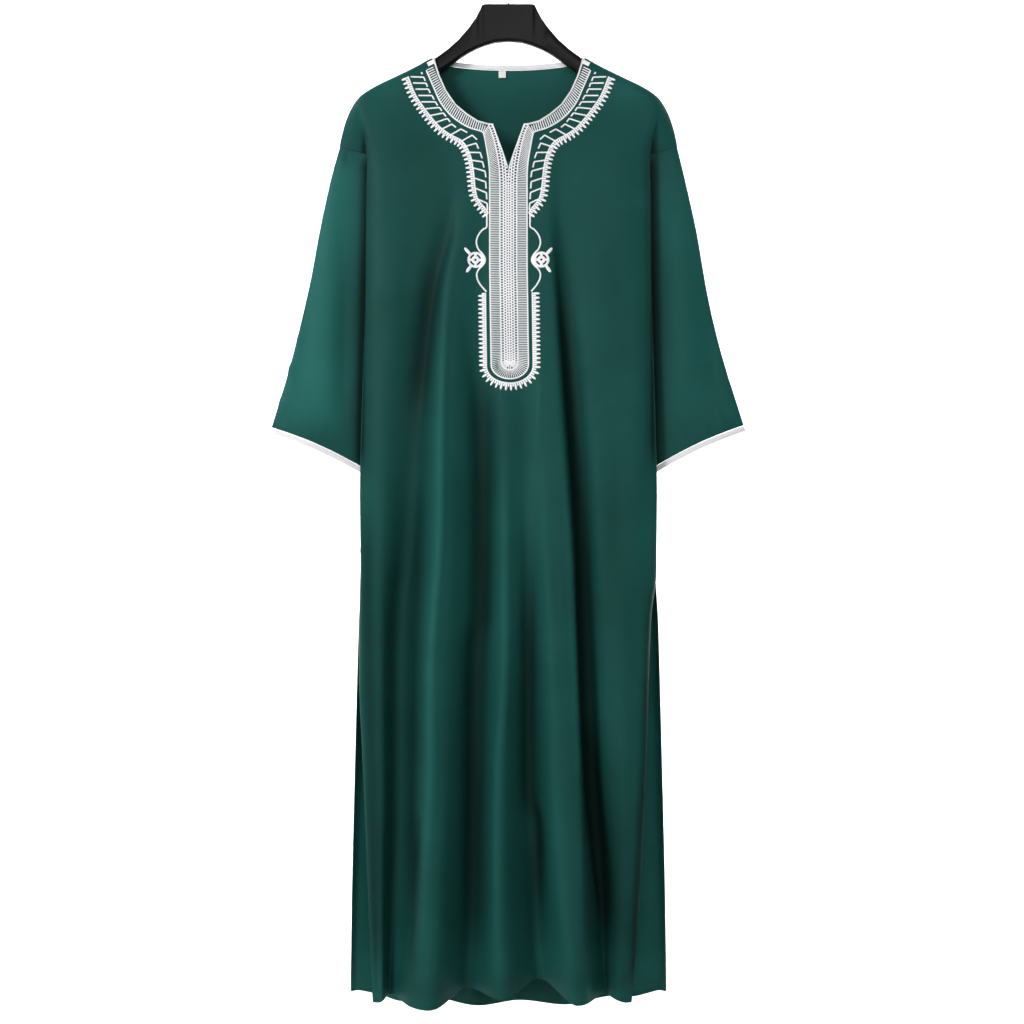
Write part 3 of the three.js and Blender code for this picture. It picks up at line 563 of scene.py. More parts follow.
@dataclass(frozen=True)
class ClothFinish:
    """Smooth dyed cloth with a soft sheen.

    Attributes:
        name: The material's name.
        deep: Colour of its darker areas.
        light: Colour of its lighter areas.
        roughness: Of the weave.
        relief: Height of its unevenness, in metres.
        threads: How fine the weave is, in turns for each metre.
        sheen: Weight of the sheen.
        sheen_tint: Its colour.
        specular: Strength of its gloss.
        fold_shade: How much the attribute "shade", painted shade that is painted light below 0, darkens its
            colour, for a cloth that has one.
    """

    name: str
    deep: Colour
    light: Colour
    roughness: float = 0.5
    relief: float = 0.0004
    threads: float = 1400.0
    sheen: float = 0.25
    sheen_tint: Colour = (0.6, 0.9, 0.85)
    specular: float = 0.4
    fold_shade: float = 0.0

    def build(self) -> bpy.types.Material:
        """Lays out the nodes.

        Returns:
            The material.
        """
        material = bpy.data.materials.new(self.name)
        material.use_nodes = True
        kit = Shader(material.node_tree)
        shader = material.node_tree.nodes["Principled BSDF"]
        weave = kit.add("ShaderNodeGroup")
        weave.node_tree = fine_weave_group()
        weave.inputs["Threads"].default_value = self.threads
        tone = weave.outputs["Tone"]
        mix = kit.add("ShaderNodeMix", data_type="RGBA")
        kit.link(kit.remap(tone, 0.0, 1.0, (0.35, 0.65)), mix.inputs["Factor"])
        ends = [socket for socket in mix.inputs if socket.type == "RGBA"]
        ends[0].default_value = (*self.deep, 1.0)
        ends[1].default_value = (*self.light, 1.0)
        colour = next(socket for socket in mix.outputs if socket.type == "RGBA")
        # Painted shade: the attribute "shade" darkens the base colour, and below 0 lightens it as painted
        # light.
        if self.fold_shade:
            shade = kit.add("ShaderNodeAttribute", attribute_name="shade").outputs["Fac"]
            colour = kit.scale(colour, kit.math("MULTIPLY_ADD", shade, -self.fold_shade, 1.0))
        kit.link(colour, shader.inputs["Base Color"])
        rough = kit.remap(tone, self.roughness - 0.05, self.roughness + 0.05)
        kit.link(rough, shader.inputs["Roughness"])
        kit.bump(weave.outputs["Height"], self.relief, shader)
        shader.inputs["Sheen Weight"].default_value = self.sheen
        shader.inputs["Sheen Roughness"].default_value = 0.45
        shader.inputs["Sheen Tint"].default_value = (*self.sheen_tint, 1.0)
        shader.inputs["Specular IOR Level"].default_value = self.specular
        return material


@dataclass(frozen=True)
class HardFinish:
    """Moulded plastic or plated wire.

    Attributes:
        name: The material's name.
        colour: Base colour.
        roughness: Mean roughness.
        metallic: 1 for metal.
        grain: Height of its moulding grain, in metres.
        specular: Strength of its gloss.
    """

    name: str
    colour: Colour
    roughness: float
    metallic: float = 0.0
    grain: float = 0.00003
    specular: float = 0.5

    def build(self) -> bpy.types.Material:
        """Lays out the nodes.

        Returns:
            The material.
        """
        material = bpy.data.materials.new(self.name)
        material.use_nodes = True
        kit = Shader(material.node_tree)
        shader = material.node_tree.nodes["Principled BSDF"]
        where = kit.add("ShaderNodeTexCoord").outputs["Object"]
        fine = kit.add("ShaderNodeTexNoise", Vector=where, Scale=900.0, Detail=2.0).outputs["Fac"]
        wide = kit.add("ShaderNodeTexNoise", Vector=where, Scale=25.0, Detail=4.0).outputs["Fac"]
        rough = kit.remap(wide, self.roughness - 0.07, self.roughness + 0.07)
        kit.link(rough, shader.inputs["Roughness"])
        kit.link(kit.scale(self.colour, kit.remap(wide, 0.85, 1.15)), shader.inputs["Base Color"])
        kit.bump(fine, self.grain, shader)
        shader.inputs["Metallic"].default_value = self.metallic
        shader.inputs["Specular IOR Level"].default_value = self.specular
        return material


GREEN_CLOTH = ClothFinish(
    "green_satin_cloth",
    (0.0078, 0.0600, 0.0520),
    (0.0094, 0.0700, 0.0610),
    roughness=0.5,
    sheen=0.02,
    sheen_tint=(0.35, 0.85, 0.8),
    specular=0.06,
    # Painted shade from the attribute "shade" darkens this cloth's colour by up to this share.
    fold_shade=0.85,
)
WHITE_BINDING = ClothFinish(
    "white_binding_cloth",
    (0.72, 0.71, 0.74),
    (0.82, 0.81, 0.83),
    roughness=0.7,
    threads=2600.0,
    sheen=0.1,
    sheen_tint=(1.0, 1.0, 1.0),
)
WHITE_THREAD = ClothFinish(
    "white_embroidery_thread",
    (0.87, 0.86, 0.89),
    (0.93, 0.92, 0.94),
    roughness=0.55,
    relief=0.0002,
    threads=5200.0,
    sheen=0.15,
    sheen_tint=(1.0, 1.0, 1.0),
)
BLACK_PLASTIC = HardFinish("black_moulded_plastic", (0.0045, 0.0045, 0.0045), 0.44, specular=0.16)
STEEL_WIRE = HardFinish("plated_steel_wire", (0.62, 0.62, 0.64), 0.22, metallic=1.0, grain=0.00001)


# Cloth sheets


@dataclass(frozen=True)
class Fold:
    """One soft ridge or trough pressed into a sheet, with the painted shade along it; a fold of height 0 is
    painted shade alone.

    Attributes:
        path: Places (x, drop) that it runs through, in millimetres.
        width: Half its width, in millimetres.
        height: How far it stands out, or in where negative, in millimetres.
        lean: From -1 to 1, steeper on its left or on its right side.
        taper: Share of its length in which each end dies away.
        shade: Painted shade, how much darker the cloth's colour is made along it; below 0, painted light that
            makes it lighter.
    """

    path: tuple[Place, ...]
    width: float
    height: float
    lean: float = 0.0
    taper: float = 0.3
    shade: float = 0.0

    def profile(self, places: np.ndarray) -> np.ndarray:
        """How much each of some places takes part in the fold.

        Args:
            places: Places (x, drop), one row each.

        Returns:
            A share from 0 to 1 for each place.
        """
        line = resample(self.path, 12.0)
        low = line.min(0) - 3 * self.width
        high = line.max(0) + 3 * self.width
        near = np.all((places > low) & (places < high), axis=1)
        result = np.zeros(len(places))
        if not near.any():
            return result
        some = places[near]
        best = np.full(len(some), 1e9)
        signed = np.zeros(len(some))
        along = np.zeros(len(some))
        count = len(line) - 1
        for i in range(count):
            a, b = line[i], line[i + 1]
            step = b - a
            length = np.linalg.norm(step)
            share = np.clip((some - a) @ step / length**2, 0, 1)
            gap = some - a - share[:, None] * step
            distance = np.linalg.norm(gap, axis=1)
            closer = distance < best
            best = np.where(closer, distance, best)
            side = np.sign(step[1] * gap[:, 0] - step[0] * gap[:, 1])
            signed = np.where(closer, side * distance, signed)
            along = np.where(closer, (i + share) / count, along)
        width = self.width * np.where(signed > 0, 1 - 0.5 * self.lean, 1 + 0.5 * self.lean)
        ends = ease(along / self.taper) * ease((1 - along) / self.taper)
        result[near] = np.exp(-((best / width) ** 2)) * ends
        return result


@dataclass
class ClothSheet:
    """A thin sheet of cloth on the visible side of a CAD wall.

    Attributes:
        name: The piece's name.
        node: The CAD node that it replaces.
        flat: Width and length that it was cut to, in metres; not used.
        area: Its flat area, in square metres; not used.
        rests_on: What carries it; not used.
        folds: Folds pressed into it.
        levels: Subdivision levels.
        thickness: Thickness of the cloth, in metres.
    """

    name: str
    node: str
    flat: tuple[float, float]
    area: float
    rests_on: tuple[str, ...]
    folds: tuple[Fold, ...] = ()
    levels: int = 2
    thickness: float = 0.0007
    obj: bpy.types.Object | None = field(default=None, init=False)

    def grid(self) -> WallGrid:
        """The CAD wall's visible side."""
        raise NotImplementedError

    def facing_share(self, normals: np.ndarray) -> np.ndarray:
        """How much each point takes part in the folds, by its normal."""
        raise NotImplementedError

    def build(self, material: bpy.types.Material) -> bpy.types.Object:
        """Makes the sheet, presses its folds in and gives it its thickness.

        Args:
            material: The cloth's finish.

        Returns:
            The finished piece.
        """
        grid = self.grid()
        rows, columns = grid.points.shape[:2]
        LOG.info("%s: a grid of %d by %d points", self.name, rows, columns)
        spans = columns if grid.round else columns - 1
        faces = [
            (
                r * columns + c,
                (r + 1) * columns + c,
                (r + 1) * columns + (c + 1) % columns,
                r * columns + (c + 1) % columns,
            )
            for r in range(rows - 1)
            for c in range(spans)
        ]
        obj = new_object(self.name, grid.points.reshape(-1, 3), faces)
        self.turn_outwards(obj)
        apply_modifier(obj, "SUBSURF", levels=self.levels, render_levels=self.levels)
        self.press(obj)
        self.obj = obj
        apply_modifier(obj, "SOLIDIFY", thickness=self.thickness, offset=-1.0, use_even_offset=True)
        smooth(obj, 60.0)
        return finish_piece(obj, material, [self.node])

    def turn_outwards(self, obj: bpy.types.Object) -> None:
        """Turns the sheet's faces to its visible side."""
        share = self.facing_share(mesh_normals(obj))
        back = self.facing_share(-mesh_normals(obj))
        if share.sum() < back.sum():
            obj.data.flip_normals()

    def press(self, obj: bpy.types.Object) -> None:
        """Moves the sheet's points by its folds and writes their painted shade into the attribute "shade"."""
        self.press_side(obj, self.folds, self.facing_share(mesh_normals(obj)))

    def press_side(self, obj: bpy.types.Object, folds: Sequence[Fold], share: np.ndarray) -> None:
        """Presses folds into one side of the sheet and adds their painted shade to the attribute "shade".

        Args:
            obj: The sheet.
            folds: The folds.
            share: How much each point takes part.
        """
        points = mesh_points(obj)
        places = np.column_stack([points[:, 0] / MM, -points[:, 2] / MM - HANGER_TOP_MM])
        # The attribute "shade" sums the folds' painted shade, which darkens the cloth's colour and is painted
        # light below 0.
        shade = obj.data.attributes.get("shade") or obj.data.attributes.new("shade", "FLOAT", "POINT")
        painted_shades = np.empty(len(points), np.float32)
        shade.data.foreach_get("value", painted_shades)
        lift = np.zeros(len(points))
        for fold in folds:
            profile = fold.profile(places) * share
            lift += fold.height * profile
            painted_shades += fold.shade * profile
        shade.data.foreach_set("value", np.clip(painted_shades, *SHADE_RANGE).astype(np.float32))
        set_points(obj, points + mesh_normals(obj) * (lift * MM)[:, None])


@dataclass
class BodyPanel(ClothSheet):
    """The front or the back of the garment.

    Attributes:
        facing: The side it shows.
    """

    facing: Facing = Facing.FRONT

    def grid(self) -> WallGrid:
        """The panel's visible side, with a row more between each two."""
        wall = WallGrid.of_panel(self.node, self.facing)
        points = wall.points
        middle = (points[:-1] + points[1:]) / 2
        woven = np.empty((len(points) * 2 - 1, *points.shape[1:]))
        woven[0::2] = points
        woven[1::2] = middle
        return WallGrid(woven, False)

    def facing_share(self, normals: np.ndarray) -> np.ndarray:
        """Full where the cloth looks to its own side, none where it is turned in."""
        return ease(self.facing.value * normals[:, 1] / FULL_FACING)


@dataclass
class Sleeve(ClothSheet):
    """A wide sleeve, sewn on below the shoulder.

    Attributes:
        back_folds: Folds of its rear side.
    """

    back_folds: tuple[Fold, ...] = ()

    def grid(self) -> WallGrid:
        """The sleeve's outside."""
        return WallGrid.of_sleeve(self.node)

    def facing_share(self, normals: np.ndarray) -> np.ndarray:
        """Full on the front side of the sleeve."""
        return ease(-normals[:, 1] / FULL_FACING)

    def turn_outwards(self, obj: bpy.types.Object) -> None:
        """Turns the sleeve's faces away from its middle."""
        points = mesh_points(obj)
        if np.sum((points - points.mean(0)) * mesh_normals(obj)) < 0:
            obj.data.flip_normals()

    def press(self, obj: bpy.types.Object) -> None:
        """Presses the front's folds and then those of the rear side."""
        super().press(obj)
        self.press_side(obj, self.back_folds, ease(mesh_normals(obj)[:, 1] / FULL_FACING))


# Hanger and hook


def merged_copy(name: str, node: str) -> bpy.types.Object:
    """Copies a CAD node, with its loose triangles joined into quads.

    Args:
        name: The copy's name.
        node: The CAD node.

    Returns:
        The copy.
    """
    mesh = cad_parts[node].data.copy()
    mesh.name = name
    obj = bpy.data.objects.new(name, mesh)
    bpy.context.scene.collection.objects.link(obj)
    pick(obj)
    bpy.ops.object.mode_set(mode="EDIT")
    bpy.ops.mesh.select_all(action="SELECT")
    bpy.ops.mesh.remove_doubles(threshold=MERGE)
    bpy.ops.mesh.tris_convert_to_quads(face_threshold=0.7, shape_threshold=1.2)
    bpy.ops.mesh.normals_make_consistent(inside=False)
    bpy.ops.object.mode_set(mode="OBJECT")
    return obj


@dataclass
class ShoulderHanger:
    """The broad black hanger and its wire hook.

    Attributes:
        edge: Rounding of the moulded edges, in metres.
    """

    edge: float = 0.0012

    def build(self) -> None:
        """Makes both pieces."""
        hanger = merged_copy("moulded_hanger", "hanger")
        apply_modifier(hanger, "BEVEL", width=self.edge, segments=2, angle_limit=math.radians(50))
        smooth(hanger, 35.0)
        finish_piece(hanger, BLACK_PLASTIC.build(), ["hanger"])
        hook = merged_copy("wire_hook", "hook")
        apply_modifier(hook, "SUBSURF", levels=2, render_levels=2)
        smooth(hook)
        finish_piece(hook, STEEL_WIRE.build(), ["hook"])


# Embroidery


def mirrored(line: np.ndarray, hand: Hand) -> np.ndarray:
    """Turns a line of the right side into one of the given side.

    Args:
        line: Places (x, drop), one row each.
        hand: The side.

    Returns:
        The places on that side.
    """
    return line * np.array([hand.value, 1.0])


def arc(middle: Place, reach: Place, start: float, end: float, steps: int) -> np.ndarray:
    """Places on an upright ellipse.

    Args:
        middle: Its middle.
        reach: Its two radii, across and down.
        start: First angle in degrees; 0 points right and 90 down.
        end: Last angle.
        steps: Number of steps.

    Returns:
        The places, one row each.
    """
    turn = np.radians(np.linspace(start, end, steps + 1))
    return np.column_stack([middle[0] + reach[0] * np.cos(turn), middle[1] + reach[1] * np.sin(turn)])


class StitchWork:
    """Raised stitches on a cloth, gathered into one mesh.

    Places are (x, drop) in millimetres, and each stitch is a low rounded strip of thread.
    """

    SIDES = 5
    SINK = 0.15

    def __init__(self, ground: bpy.types.Object, depth: float = -0.03) -> None:
        """Starts on a cloth.

        Args:
            ground: The piece that the stitches lie on.
            depth: Rough place of its edge along Y, for stitches that hang over the edge.
        """
        bm = bmesh.new()
        bm.from_mesh(ground.data)
        self.tree = BVHTree.FromBMesh(bm)
        bm.free()
        self.depth = depth
        self.points: list[Vector] = []
        self.faces: list[tuple] = []

    def land(self, place: Sequence[float]) -> tuple[Vector, Vector]:
        """Finds the spot on the cloth behind a place.

        Args:
            place: The place (x, drop).

        Returns:
            The spot and the cloth's normal there, which looks forwards.
        """
        x = (place[0] + sway(place[1])) * MM
        z = -(place[1] + HANGER_TOP_MM) * MM
        hit, normal, _, _ = self.tree.ray_cast(Vector((x, -0.3, z)), Vector((0, 1, 0)))
        if hit is None:
            hit, normal, _, _ = self.tree.find_nearest(Vector((x, self.depth, z)))
            hit = Vector((x, hit.y, z))
            normal = Vector((0, -1, 0))
        return hit, normal if normal.y < 0 else -normal

    def strip(
        self,
        path: np.ndarray | Sequence[Place],
        width: float | Sequence[float],
        height: float | Sequence[float] = 0.7,
    ) -> None:
        """Lays one rounded strip of thread.

        Args:
            path: Its middle line.
            width: Its width in millimetres, one for all or one for each place.
            height: Its height in millimetres, one for all or one for each place.
        """
        path = np.asarray(path, float)
        count = len(path)
        widths = np.broadcast_to(width, (count,))
        heights = np.broadcast_to(height, (count,))
        spots = [self.land(place) for place in path]
        first = len(self.points)
        for i, (spot, normal) in enumerate(spots):
            along = (spots[min(i + 1, count - 1)][0] - spots[max(i - 1, 0)][0]).normalized()
            side = normal.cross(along).normalized()
            up = along.cross(side)
            for k in range(self.SIDES):
                turn = math.pi * k / (self.SIDES - 1)
                across = side * (widths[i] / 2 * math.cos(turn))
                self.points.append(spot + (across + up * (heights[i] * math.sin(turn) - self.SINK)) * MM)
        for i in range(count - 1):
            row = first + i * self.SIDES
            for k in range(self.SIDES):
                a, b = row + k, row + (k + 1) % self.SIDES
                self.faces.append((a, b, b + self.SIDES, a + self.SIDES))
        last = first + (count - 1) * self.SIDES
        self.faces.append(tuple(range(first, first + self.SIDES)))
        self.faces.append(tuple(reversed(range(last, last + self.SIDES))))

    def bar(self, start: Sequence[float], end: Sequence[float], width: float, height: float = 0.55) -> None:
        """Lays one short straight stitch.

        Args:
            start: Its first place.
            end: Its last place.
            width: Its width in millimetres.
            height: Its height in millimetres.
        """
        self.strip(np.array([start, end], float), width, height)

    def finger(self, root: np.ndarray, way: np.ndarray, length: float, width: float) -> None:
        """Lays one rounded tooth of satin stitch.

        Args:
            root: Where it starts.
            way: Its direction, of length 1.
            length: Its length in millimetres.
            width: Its greatest width in millimetres.
        """
        shares = np.array([0.0, 0.25, 0.55, 0.8, 0.93, 1.0])
        widths = width * np.array([0.62, 0.85, 1.0, 0.88, 0.62, 0.25])
        heights = np.array([0.6, 0.85, 0.95, 0.85, 0.6, 0.3])
        self.strip(root + np.outer(shares * length, way), widths, heights)

    def build(self, name: str, material: bpy.types.Material, slot: str, replaced: Sequence[str]) -> None:
        """Makes the piece.

        Args:
            name: Its name.
            material: Its finish.
            slot: Name of a material slot; not used.
            replaced: CAD nodes that it replaces.
        """
        obj = new_object(name, self.points, self.faces)
        pick(obj)
        bpy.ops.object.mode_set(mode="EDIT")
        bpy.ops.mesh.select_all(action="SELECT")
        bpy.ops.mesh.normals_make_consistent(inside=False)
        bpy.ops.object.mode_set(mode="OBJECT")
        smooth(obj, 65.0)
        finish_piece(obj, material, replaced)


def sway(drop: float) -> float:
    """How far the placket hangs to the right of the middle at a drop, in millimetres."""
    return 1.9 * float(np.clip((drop - 380.0) / 140.0, 0.0, 1.0))


@dataclass(frozen=True)
class NeckEmbroidery:
    """The white embroidery round the neck, down the placket and beside both.

    All places are those of the right side, in millimetres; the left side mirrors them.

    Attributes:
        ladder: Rows of the band's inner and outer line (inner x, drop, outer x, drop).
        corner_row: The row at which the band leaves the neck edge for the placket.
        end_block: The short bar that ends the band at the shoulder.
        notch: The notch's edge, from its corner to its lowest point.
        straight_end: Drop at which the placket's straight part ends.
        inner_half: Half the width between the placket's inner cords.
        outer_half: Half the width between its outer cords.
        outer_depth: Depth of the outer cord's round end.
        outer_start: Drop at which that round end starts.
        cord: Width of the cords.
        cord_height: How far they stand out.
        binding: Width of the white tape at the neck, beside which the rungs start.
        neck_pitch: Distance of the ladder's rungs beside the neck.
        placket_pitch: Their distance down the placket.
        hole_pitch: Distance of the lattice's rows.
        columns: Lines between the lattice's holes, as distances from the inner cord.
        notch_gap: Distance of the lattice from the notch's edge.
        end_gap: Radius at the placket's end that the lattice leaves free.
        keys: Number of key-shaped stitches on a side.
        key_lines: Some of them (number, root x, drop, corner x, drop); the others lie between.
        key_width: Width of their threads.
        hook_share: Length of their hooks, as a share of the way to the next one.
        key_dot: The single stitch above the first key.
        spine: The middle of the neck border's teeth, from the shoulder down.
        spine_shift: How far the border's bright line lies from there.
        tooth_pitch: Distance of the teeth.
        tooth_length: Their length.
        tooth_width: Their width.
        rib_length: Length of the short ribs between the teeth.
        rib_width: Width of the ribs.
        placket_teeth: Distance of the placket's teeth, as a share of the others' distance.
        border_half: Half the width between the placket border's lines.
        border_top: Drop at which these lines start.
        border_start: Drop at which their round end starts.
        border_depth: Its depth.
        medallion: The rosette's middle.
        bracket: The cord that curls round the rosette.
        ring_radius: Radius of the rosette's ring.
        ring_width: Width of the ring.
        eye_radius: Radius of the ring within it.
        eye_width: Width of that ring.
        spikes: The rosette's leaves (across, down, width).
    """

    ladder: tuple[tuple[float, float, float, float], ...] = (
        (105.3, 93.0, 118.4, 99.3),
        (95.2, 116.0, 107.6, 124.4),
        (86.4, 133.0, 97.5, 146.5),
        (72.5, 151.4, 81.2, 166.7),
        (53.5, 166.2, 59.2, 181.9),
        (35.5, 175.3, 39.1, 188.8),
        (28.5, 180.0, 35.6, 192.0),
        (24.5, 189.0, 33.8, 199.5),
        (20.0, 204.0, 31.0, 215.5),
        (16.3, 221.0, 28.6, 230.5),
        (13.2, 241.0, 27.1, 246.0),
        (12.0, 262.0, 26.8, 262.0),
    )
    corner_row: int = 6
    end_block: tuple[Place, Place] = ((107.6, 86.0), (116.6, 90.5))
    notch: tuple[Place, ...] = ((21.8, 177.6), (14.8, 196.9), (6.7, 219.3), (0.1, 240.3))
    straight_end: float = 520.0
    inner_half: float = 12.0
    outer_half: float = 26.8
    outer_depth: float = 21.0
    outer_start: float = 524.0
    cord: float = 2.2
    cord_height: float = 0.9
    binding: float = 2.7
    neck_pitch: float = 3.4
    placket_pitch: float = 2.5
    hole_pitch: float = 3.8
    columns: tuple[float, ...] = (0.0, 4.7, 8.45, 12.0)
    notch_gap: float = 1.2
    end_gap: float = 3.4
    keys: int = 18
    key_lines: tuple[tuple[float, ...], ...] = (
        (0, 140.9, 108.6, 122.0, 109.2),
        (2, 133.9, 126.6, 115.2, 126.6),
        (4, 125.4, 145.2, 105.2, 145.3),
        (6, 112.9, 165.4, 93.6, 161.6),
        (8, 96.6, 185.7, 81.5, 177.9),
        (9, 85.0, 195.0, 68.3, 185.4),
        (10, 68.6, 203.6, 52.0, 194.5),
        (11, 63.2, 211.3, 46.4, 206.2),
        (12, 59.3, 219.5, 40.6, 219.8),
        (14, 52.0, 241.6, 33.7, 246.6),
        (17, 46.8, 285.5, 30.6, 292.9),
    )
    key_width: float = 2.3
    hook_share: float = 0.62
    key_dot: tuple[Place, Place] = ((125.6, 102.0), (124.0, 104.6))
    spine: tuple[Place, ...] = (
        (147.0, 109.1),
        (135.9, 136.4),
        (119.8, 160.6),
        (101.5, 182.8),
        (85.6, 194.9),
        (69.3, 204.1),
        (61.2, 215.0),
        (55.3, 231.3),
        (52.2, 251.4),
        (50.2, 271.6),
        (46.1, 287.8),
        (35.2, 301.9),
        (30.9, 308.0),
    )
    spine_shift: float = -2.4
    tooth_pitch: float = 6.6
    tooth_length: float = 10.2
    tooth_width: float = 3.6
    rib_length: float = 4.9
    rib_width: float = 3.1
    placket_teeth: float = 0.93
    border_half: float = 33.7
    border_top: float = 421.0
    border_start: float = 526.0
    border_depth: float = 25.3
    medallion: Place = (47.3, 374.0)
    bracket: tuple[Place, ...] = (
        (31.0, 307.5),
        (31.0, 318.0),
        (31.4, 327.0),
        (36.5, 330.2),
        (42.1, 336.8),
        (45.4, 344.5),
        (45.7, 351.1),
        (43.1, 358.7),
        (37.6, 365.3),
        (34.6, 373.5),
        (37.0, 381.0),
        (42.1, 386.7),
        (45.5, 393.5),
        (44.8, 401.5),
        (40.9, 409.2),
        (36.5, 414.7),
        (32.2, 419.5),
    )
    ring_radius: float = 9.9
    ring_width: float = 3.7
    eye_radius: float = 3.7
    eye_width: float = 4.4
    spikes: tuple[tuple[float, float, float], ...] = ((15.1, -16.3, 5.2), (12.6, 17.2, 5.2))

    def build(self, cloth: bpy.types.Object) -> None:
        """Stitches everything onto the front.

        Args:
            cloth: The finished front.
        """
        thread = WHITE_THREAD.build()
        for hand in Hand:
            band = StitchWork(cloth)
            self.lay_ladder(band, hand)
            self.lay_lattice(band, hand)
            band.build(f"band_{hand.word}", thread, "embroidery_thread", [f"neck_embroidery_{hand.word}"])
            border = StitchWork(cloth)
            self.lay_keys(border, hand)
            self.lay_picots(border, self.shifted_spine(), hand)
            border.build(f"border_{hand.word}", thread, "embroidery_thread", [f"neck_border_{hand.word}"])
            mark = StitchWork(cloth)
            self.lay_medallion(mark, hand)
            mark.build(f"rosette_{hand.word}", thread, "embroidery_thread", [f"medallion_{hand.word}"])
        border = StitchWork(cloth)
        self.lay_picots(border, self.placket_line(), None)
        border.build("border_placket", thread, "embroidery_thread", ["placket_border"])

    def ladder_rows(self, pitch: float, upper: bool) -> np.ndarray:
        """Evenly spaced rows of the band's two lines.

        Args:
            pitch: Distance of the rows.
            upper: Whether the part beside the neck is wanted, or the part from its corner on.

        Returns:
            Rows (inner x, drop, outer x, drop).
        """
        step = pitch * math.sqrt(2)
        rows = np.array(self.ladder)
        if upper:
            return resample(rows[: self.corner_row + 1], step)
        corner = resample(rows[self.corner_row :], step)
        straight = np.array(
            [
                (self.inner_half, self.straight_end - 12, self.outer_half, self.straight_end - 12),
                (self.inner_half, self.straight_end, self.outer_half, self.outer_start),
            ]
        )
        round_end = np.hstack(
            [
                arc((0, self.straight_end), (self.inner_half, self.inner_half), 0, 90, 12)[1:],
                arc((0, self.outer_start), (self.outer_half, self.outer_depth), 0, 90, 12)[1:],
            ]
        )
        return resample(np.vstack([corner, straight, round_end]), step, curved=False)

    def lay_ladder(self, work: StitchWork, hand: Hand) -> None:
        """Lays the band's cords and its rungs.

        Args:
            work: Where the stitches go.
            hand: The side.
        """
        for upper, pitch, width in ((True, self.neck_pitch, 1.7), (False, self.placket_pitch, 1.3)):
            rows = self.ladder_rows(pitch, upper)
            inner = mirrored(rows[:, :2], hand)
            outer = mirrored(rows[:, 2:], hand)
            work.strip(outer, self.cord, self.cord_height)
            if not upper:
                work.strip(inner, self.cord, self.cord_height)
            for start, end in zip(inner, outer):
                across = end - start
                way = across / np.linalg.norm(across)
                margin = self.binding + 0.6 if upper else 0.8
                work.bar(start + way * margin, end - way * 0.8, width, 0.6)
        block = mirrored(np.array(self.end_block), hand)
        work.strip(np.linspace(block[0], block[1], 5), 6.5, 0.8)

    def lay_lattice(self, work: StitchWork, hand: Hand) -> None:
        """Lays the open lattice between the placket's inner cords.

        Args:
            work: Where the stitches go.
            hand: The side.
        """
        rows = self.ladder_rows(self.hole_pitch / 4, False)
        line = rows[:, :2]
        lines = [offset(line, -distance) for distance in self.columns]
        edge = np.array(self.notch)

        def reach(drop: float) -> float:
            return np.interp(drop, edge[:, 1], edge[:, 0], left=1e3, right=-2.0) + self.notch_gap

        def clear(place: np.ndarray) -> bool:
            below = place[1] - self.straight_end
            crowded = below > 0 and np.hypot(place[0], below) < self.end_gap
            return place[0] > reach(place[1]) + 0.6 and not crowded

        for i, thread in enumerate(lines[1:]):
            kept = np.array([place for place in thread if clear(place)])[::3]
            if len(kept) > 2 and not (i == len(lines) - 2 and hand is Hand.LEFT):
                work.strip(mirrored(kept, hand), 1.9, 0.7)
        for column, (left, right) in enumerate(zip(lines, lines[1:])):
            start = 2 if column % 2 else 0
            last = np.full(2, np.inf)
            for k in range(start, len(line), 4):
                apart = np.hypot(*(left[k] - last)) > 0.6 * self.hole_pitch
                if apart and clear(left[k]):
                    last = left[k]
                    inner = (max(right[k][0], reach(right[k][1])), right[k][1])
                    ends = mirrored(np.array([left[k], inner]), hand)
                    work.bar(ends[0], ends[1], 1.7 if column == 0 else 2.2)
        notch = resample(edge, 3.0, curved=False) + np.array([1.3, 0.4])
        work.strip(mirrored(notch, hand), self.cord, self.cord_height)

    def lay_keys(self, work: StitchWork, hand: Hand) -> None:
        """Lays the key-shaped stitches between the border and the band.

        Args:
            work: Where the stitches go.
            hand: The side.
        """
        table = np.array(self.key_lines)
        stations = np.arange(self.keys)
        roots = np.column_stack([np.interp(stations, table[:, 0], table[:, k]) for k in (1, 2)])
        corners = np.column_stack([np.interp(stations, table[:, 0], table[:, k]) for k in (3, 4)])
        roots, corners = mirrored(roots, hand), mirrored(corners, hand)
        steps = np.gradient(corners, axis=0)
        for root, corner, step in zip(roots, corners, steps):
            work.strip(np.linspace(root, corner, 5), self.key_width, 0.75)
            work.strip(np.linspace(corner, corner + step * self.hook_share, 4), self.key_width, 0.75)
        dot = mirrored(np.array(self.key_dot), hand)
        work.bar(dot[0], dot[1], 2.6, 0.75)

    def shifted_spine(self) -> np.ndarray:
        """The bright inner line of the neck's border."""
        return offset(resample(self.spine, self.tooth_pitch / 4), self.spine_shift)

    def placket_line(self) -> np.ndarray:
        """The bright inner line of the border round the placket's end, from the right to the left."""
        half = self.border_half
        right = np.array([(half, self.border_top), (half, self.border_start)])
        bend = arc((0, self.border_start), (half, self.border_depth), 0, 180, 24)
        left = np.array([(-half, self.border_start), (-half, self.border_top)])
        corners = np.vstack([right[:1], bend, left[1:]])
        lengths = np.concatenate([[0], np.cumsum(np.linalg.norm(np.diff(corners, axis=0), axis=1))])
        pitch = self.placket_teeth * self.tooth_pitch / 4
        at = np.linspace(0, lengths[-1], int(lengths[-1] / pitch))
        return np.column_stack([np.interp(at, lengths, corners[:, k]) for k in (0, 1)])

